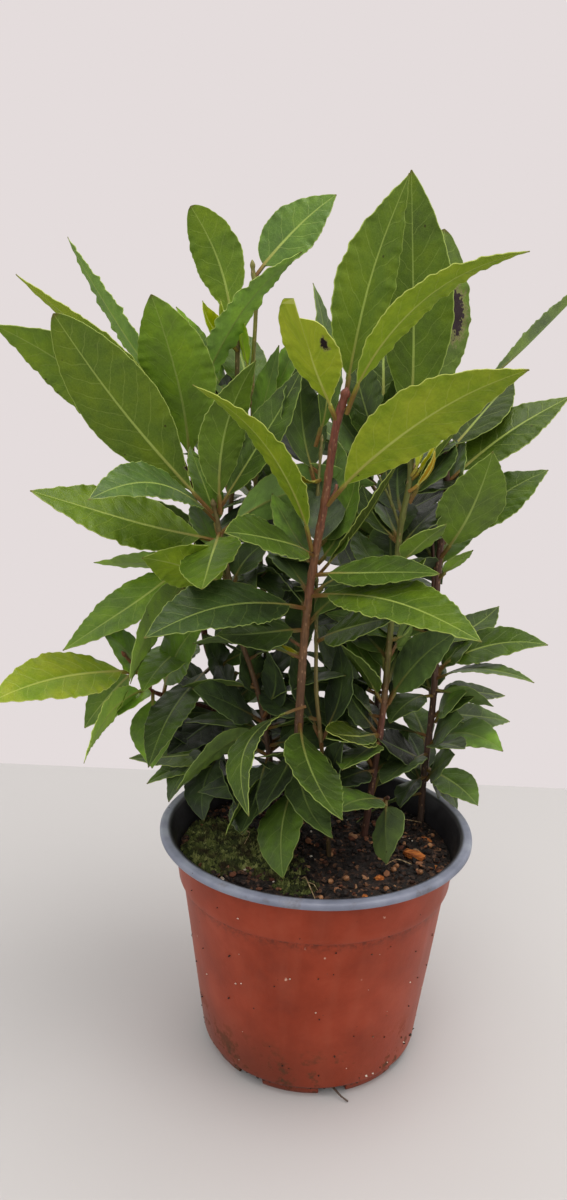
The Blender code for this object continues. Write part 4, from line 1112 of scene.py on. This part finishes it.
SMALL_LEAVES = {
    "front_small_leaves": (front_stem, [
        (269, 330, 7, 65, 26, 25, 1, 1, 0.4, 0.9),
        (225, 116, -6, 29, 8, 56, -4, -3, 0.95, 1, {"tint": 1}),
        (259, 125, 27, 41, 26, 14, 2, -1, 0.1, 2.25), (239, 197, -2, 43, 34, -19, -1, 0, 0.26, 1.25),
        (174, 247, -27, 45, 26, 31, -1, 0, 0.08, 1.4), (167, 293, -24, 52, 26, -22, -7, -6, 0.19, 1.9)]),
    "thin_small_leaves": (thin_stem, [
        (251, 30, 39, 34, 28, 3, -7, -4, 0.16, 1), (189, 137, 6, 45, 26, -3, -5, 3, 0.05, 2.5),
        (180, 113, 52, 55, 26, 35, -5, 3, 0.05, 1.65), (179, 73, 65, 51, 26, -42, -9, -5, 0.05, 1.95),
        (174, 268, -56, 33, 26, 57, -3, 2, 0.16, 1), (144, 308, 75, 38, 26, 74, 6, 3, 0.05, 1.9)]),
    "inner_small_leaves": (inner_twig, [
        (330, 108, 78, 83, 26, 43, 7, -4, 0.37, 1.4), (271, 157, 54, 41, 26, -9, -2, 2, 0.29, 3),
        (317, 132, 44, 47, 26, 9, -7, 5, 0.16, 1),
        (312, 253, 13, 38, 8, -2, -10, -5, 0.9, 1, {"tint": 1.6}),
        (312, 121, 72, 63, 36, 21, -3, 3, 0.21, 1.5), (287, 73, 58, 53, 30, -34, -3, -2, 0.27, 2.55),
        (279, 329, 65, 46, 24, 59, -9, -6, 0.36, 1.7), (271, 358, 69, 34, 24, 33, -8, -5, 0.38, 1.65),
        (265, 334, 56, 79, 22, 7, -3, 1, 0.62, 0.3)]),
    "middle_small_leaves": (middle_stem, [
        (319, 58, 15, 53, 28, -5, 6, 4, 0.16, 1), (305, 42, 42, 43, 26, -9, -4, -2, 0.2, 2.2),
        (273, 52, 23, 39, 26, -9, 0, 0, 0.14, 1), (319, 280, 81, 17, 7, 45, -10, 8, 1, 1.3),
        (317, 343, 62, 20, 6, -21, -7, 4, 1, 1.3, {"tint": 0.6}),
        (311, 329, 62, 22, 7, -4, -10, 8, 1, 1, {"tint": 2}), (263, 350, 43, 17, 10, 21, -9, -4, 0.5, 1),
        (305, 48, 11, 44, 26, 9, 6, 4, 0.16, 0.6), (305, 12, 57, 52, 18, -28, 3, -1, 0.6, 0.6),
        (283, 132, 44, 37, 26, 5, -5, 5, 0.22, 0.8), (279, 46, 33, 42, 28, -12, 3, 2, 0.24, 0.65),
        (272, 312, 39, 37, 22, -4, 2, -1, 0.41, 1.25), (262, 131, 38, 36, 26, 5, -6, 5, 0.24, 2.65),
        (229, 49, 25, 21, 26, -76, -10, 8, 0.3, 1.6), (196, 212, 51, 42, 22, 2, 3, 1, 0.32, 1.05),
        (176, 186, 54, 35, 28, -26, -1, 1, 0.1, 0.95), (175, 238, 14, 56, 20, -12, -1, 0, 0.4, 0.6),
        (174, 237, 19, 56, 24, -21, -3, 1, 0.72, 0.25), (170, 246, 2, 49, 24, 15, 1, -1, 0.36, 1.25),
        (153, 228, 0, 43, 28, 1, 4, -2, 0.05, 1.45)]),
    "middle_twig_small_leaves": (middle_twig, [
        (144, 240, 14, 54, 24, -10, 5, -3, 0.26, 1.75), (144, 269, -36, 36, 30, -120, 0, 0, 0.14, 2.15)]),
    "right_small_leaves": (right_stem, [
        (328, 44, 37, 65, 30, 10, 0, 0, 0.49, 0.35), (178, 322, 48, 27, 24, 37, 8, 3, 0.26, 3),
        (141, 301, 45, 32, 22, 53, 2, 1, 0.2, 3), (291, 54, 74, 50, 26, -32, 1, 0, 0.37, 3),
        (163, 301, 42, 35, 24, 56, 8, 4, 0.14, 3), (181, 340, 31, 24, 24, 20, 8, 3, 0.28, 1),
        (206, 2, 45, 26, 22, 12, 7, 3, 0.3, 1), (262, 303, 36, 29, 12, -4, 1, -1, 0.32, 2.25),
        (221, 40, 18, 52, 24, 7, -3, -2, 0.4, 0.7), (203, 315, 11, 62, 16, 7, 9, 3, 0.4, 0.95),
        (195, 349, -12, 32, 22, -39, 3, -1, 0.19, 3), (194, 19, -8, 44, 22, 9, 2, 1, 0.39, 0.4),
        (192, 218, -21, 32, 26, 4, 10, -6, 0.22, 1.5), (188, 95, 2, 66, 28, 0, 10, 0, 0.24, 1),
        (180, 22, -11, 51, 24, 17, 2, 1, 0.34, 1.15), (162, 289, 18, 43, 20, 13, 3, 1, 0.32, 0.75),
        (156, 235, -4, 47, 26, 19, 2, -1, 0.19, 2.1), (151, 219, 31, 43, 26, -37, 1, 0, 0.12, 0.15),
        (146, 349, -53, 29, 24, 15, 8, 5, 0.25, 1), (143, 53, -52, 33, 20, 72, 7, 5, 0.1, 1),
        (141, 233, -28, 25, 20, 26, 9, -3, 0.1, 2.25)]),
    "left_small_leaves": (left_stem, [
        (296, 10, 60, 84, 32, 32, -1, -1, 0.34, 0.85), (269, 129, 43, 42, 26, 20, -3, 2, 0.37, 3),
        (256, 152, 50, 41, 24, 1, 4, -2, 0.3, 1), (284, 127, 53, 53, 26, 25, 1, -1, 0.43, 1.3),
        (256, 34, 44, 32, 28, 5, 8, 6, 0.18, 1.65), (162, 354, 7, 39, 26, 14, 4, 2, 0.1, 3),
        (255, 221, 21, 55, 32, 49, 4, 4, 0.62, 1.3), (188, 161, 74, 35, 28, -7, -2, 1, 0.05, 3),
        (181, 275, 74, 41, 24, 122, -10, -7, 0.05, 2.25), (178, 212, 30, 47, 30, -33, 2, -1, 0.05, 2.55),
        (172, 225, -19, 62, 24, 61, 7, 4, 0.25, 3), (146, 254, -6, 67, 14, 71, 3, 1, 0.4, 1),
        (145, 260, -8, 60, 28, 37, 6, -3, 0.12, 1)]),
    "outer_left_small_leaves": (outer_left_stem, [
        (312, 198, 46, 134, 22, 23, 9, 4, 0.8, 1.2, {"hook": -4}),
        (268, 219, 35, 53, 28, 32, 4, 4, 0.35, 1), (179, 201, 33, 44, 26, -27, 7, -4, 0.2, 1),
        (262, 187, -3, 57, 26, 30, -2, 0, 0.32, 3), (252, 256, -23, 95, 26, 88, 6, 3, 0.34, 3),
        (245, 249, -28, 80, 24, 74, 7, 3, 0.45, 1), (214, 248, -11, 65, 30, 2, 6, -5, 0.45, 1.55),
        (171, 234, -15, 47, 30, -8, 1, -1, 0.06, 0.85), (153, 220, 22, 46, 30, -28, 1, -1, 0.03, 1),
        (152, 229, -27, 50, 26, 6, 10, -8, 0.12, 2), (151, 256, -38, 49, 28, 21, 9, -11, 0.05, 2),
        (147, 199, 1, 58, 24, -14, -1, 0, 0.55, 0.75), (142, 208, -8, 51, 22, -6, 8, -3, 0.46, 1.15),
        (141, 278, 0, 58, 24, -57, -4, -2, 0.08, 1)]),
    "left_twig_small_leaves": (left_twig, [
        (207, 201, -48, 41, 26, -28, 3, -3, 0.55, 1.1), (199, 214, 52, 37, 26, -42, 7, -3, 0.45, 3),
        (196, 249, -17, 29, 22, 20, -2, 1, 0.45, 3), (190, 280, -62, 42, 26, 20, 4, 2, 0.4, 1.95)]),
    "back_left_small_leaves": (back_left_stem, [
        (347, 212, 57, 62, 26, -50, 1, -1, 0.5, 1.85), (173, 318, 40, 73, 26, 53, 1, 1, 0.1, 2.1),
        (172, 244, 59, 59, 26, -82, 4, -2, 0.08, 3),
        (381, 219, 47, 30, 17, -61, -10, 8, 0.9, 0.85, {"fold": 18, "tint": 0.3}),
        (380, 238, 62, 27, 10, -24, -10, -7, 0.85, 1, {"fold": 20}),
        (338, 97, 86, 30, 28, 55, -10, 8, 0.15, 1), (260, 305, -12, 60, 28, -2, 5, 3, 0.12, 3),
        (235, 299, -17, 45, 26, -16, 3, 2, 0.16, 1), (222, 140, 12, 60, 30, -5, 10, 2, 0.26, 1),
        (172, 110, -10, 44, 28, 0, 10, 0, 0.2, 1)]),
    "back_small_leaves": (back_stem, [
        (350, 120, 52, 60, 30, 0, 6, 0, 0.46, 1), (226, 336, 38, 37, 26, 41, 7, 5, 0.12, 1),
        (367, 222, 77, 35, 16, -17, -3, -1, 0.7, 2.6), (330, 325, 62, 68, 28, 68, 1, 1, 0.31, 3),
        (324, 298, 64, 62, 24, 96, 1, 1, 0.27, 2.65), (300, 100, 38, 56, 32, 10, 8, -2, 0.34, 1),
        (299, 264, 42, 56, 20, -40, -10, -8, 0.35, 1), (283, 277, 44, 47, 28, 119, -10, -8, 0.16, 1)]),
    "far_small_leaves": (far_stem, [
        (326, 226, 62, 63, 34, -83, -1, 1, 0.3, 1), (222, 75, 12, 36, 24, 5, 8, 0, 0.28, 1),
        (286, 316, 26, 53, 28, 44, -1, 0, 0.29, 0.3), (314, 276, 59, 63, 26, 109, 0, 0, 0.3, 1),
        (181, 222, 45, 72, 28, -58, -7, 5, 0.12, 2.85), (314, 221, 44, 59, 28, -68, -1, 1, 0.16, 2.95),
        (232, 227, 53, 70, 28, -73, -1, 1, 0.14, 1), (207, 245, 30, 57, 28, -68, 2, -1, 0.14, 1),
        (200, 140, 10, 44, 26, 0, 10, 2, 0.22, 1), (168, 60, -8, 42, 26, 0, 10, 0, 0.2, 1)]),
}
for bunch_name, (stem, rows) in SMALL_LEAVES.items():
    bunch = []
    for number, row in enumerate(rows):
        bunch.append(grow_leaf(bunch_name + str(number), stem, row[:10], small_blank, **dict(*row[10:])))
    join_leaves(bunch_name, bunch)

INNER_LEAF_COUNT = 130
chance = random.Random(2)
FILLED_STEMS = (
    (front_stem, 150, 280), (middle_stem, 130, 300), (right_stem, 125, 300), (left_stem, 130, 270),
    (outer_left_stem, 130, 310), (back_left_stem, 130, 350), (back_stem, 130, 370), (far_stem, 130, 330),
    (middle_stem, 130, 280), (far_stem, 130, 330))
inner_leaves = []
while len(inner_leaves) < INNER_LEAF_COUNT:
    stem, low, high = FILLED_STEMS[len(inner_leaves) % len(FILLED_STEMS)]
    height = chance.uniform(low, high)
    turn = chance.gauss(90, 70)
    rise = chance.uniform(-22, 38)
    length = chance.uniform(38, 66)
    tip = stem.at(height)[0] + length * Vector((cos(radians(turn)), sin(radians(turn)), sin(radians(rise))))
    shows_gap = -74 < tip.x < -42 and 192 < tip.z < 226
    if shows_gap or not -84 < tip.x < 72 or not -12 < tip.y < 88:
        continue
    # The last number, 1.8, is painted light: it lifts the old leaves in the shaded middle of the plant.
    row = (height, turn, rise, length, length * chance.uniform(0.36, 0.46),
           chance.uniform(-35, 35), chance.uniform(2, 10), chance.uniform(-5, 5),
           chance.uniform(0.02, 0.3), 1.8)
    inner_leaves.append(grow_leaf("inner_leaf_{}".format(len(inner_leaves)), stem, row, plain_blank))
join_leaves("inner_leaves", inner_leaves)
for blank in (fine_blank, small_blank, plain_blank):
    bpy.data.objects.remove(blank, do_unlink=True)

# Floor, light and camera
# A plain pale floor under soft studio light: a wide overhead panel, weaker ones at the front and
# the right, and an even room light. The camera looks slightly down on the plant from 46 cm away.

bpy.ops.mesh.primitive_plane_add(size=0.70, location=(0, 0, 0))
floor = bpy.context.object
floor.name = "floor"
floor_finish, floor_tree, floor_shader = new_finish("matt_floor", roughness=0.6)
floor_shader.inputs["Base Color"].default_value = paint("#c2c0c1")
floor.data.materials.append(floor_finish)


def soft_panel(name, place, aim, size, power, colour):
    light = bpy.data.lights.new(name, "AREA")
    light.shape = "DISK"
    light.size = size
    light.energy = power
    light.color = paint(colour)[:3]
    panel = bpy.data.objects.new(name, light)
    bpy.context.scene.collection.objects.link(panel)
    panel.location = place
    panel.rotation_euler = (Vector(aim) - Vector(place)).to_track_quat("-Z", "Y").to_euler()


soft_panel("overhead_panel", (0.22, -0.12, 1.25), (0, 0, 0.2), 0.8, 6.6, "#fffaf4")
soft_panel("front_panel", (-0.45, -1.2, 0.9), (0, 0, 0.25), 0.9, 2.8, "#fdfbfa")
soft_panel("right_panel", (1.1, -0.35, 0.6), (0, 0, 0.15), 0.7, 1.6, "#fffaf6")

# The room is brighter above than below, and the camera sees its even pale wall.
room = bpy.data.worlds.new("room_light")
bpy.context.scene.world = room
room.use_nodes = True
wall = room.node_tree.nodes["Background"]
wall.inputs["Color"].default_value = paint("#e4dcdc")
way = add(room.node_tree, "TexCoord").outputs["Generated"]
way_up = add(room.node_tree, "SeparateXYZ", way).outputs["Z"]
glow = add(room.node_tree, "MapRange", way_up, -0.3, 0.9, 0.60, 1.20)
ambient = add(room.node_tree, "Background", paint("#efece8"), glow)
seen = add(room.node_tree, "LightPath").outputs["Is Camera Ray"]
both = add(room.node_tree, "MixShader", seen, ambient, wall)
fill(room.node_tree, room.node_tree.nodes["World Output"], {"Surface": both})
bpy.context.scene.view_settings.view_transform = "Standard"

CAMERA_PLACE = (0, -0.46, 0.35)
yaw, pitch, tilt = radians(-2.6), radians(12.3), radians(1.54)
ahead = Vector((sin(yaw) * cos(pitch), cos(yaw) * cos(pitch), -sin(pitch)))
level = ahead.cross(Vector((0, 0, 1))).normalized()
upward = level.cross(ahead)
right = level * cos(tilt) + upward * sin(tilt)
top = upward * cos(tilt) - level * sin(tilt)
camera_data = bpy.data.cameras.new("camera")
camera_data.lens = 27
camera_data.sensor_width = 36
camera = bpy.data.objects.new("camera", camera_data)
bpy.context.scene.collection.objects.link(camera)
axes = Matrix((right, top, -ahead)).transposed()
camera.matrix_world = Matrix.Translation(CAMERA_PLACE) @ axes.to_4x4()
bpy.context.scene.camera = camera
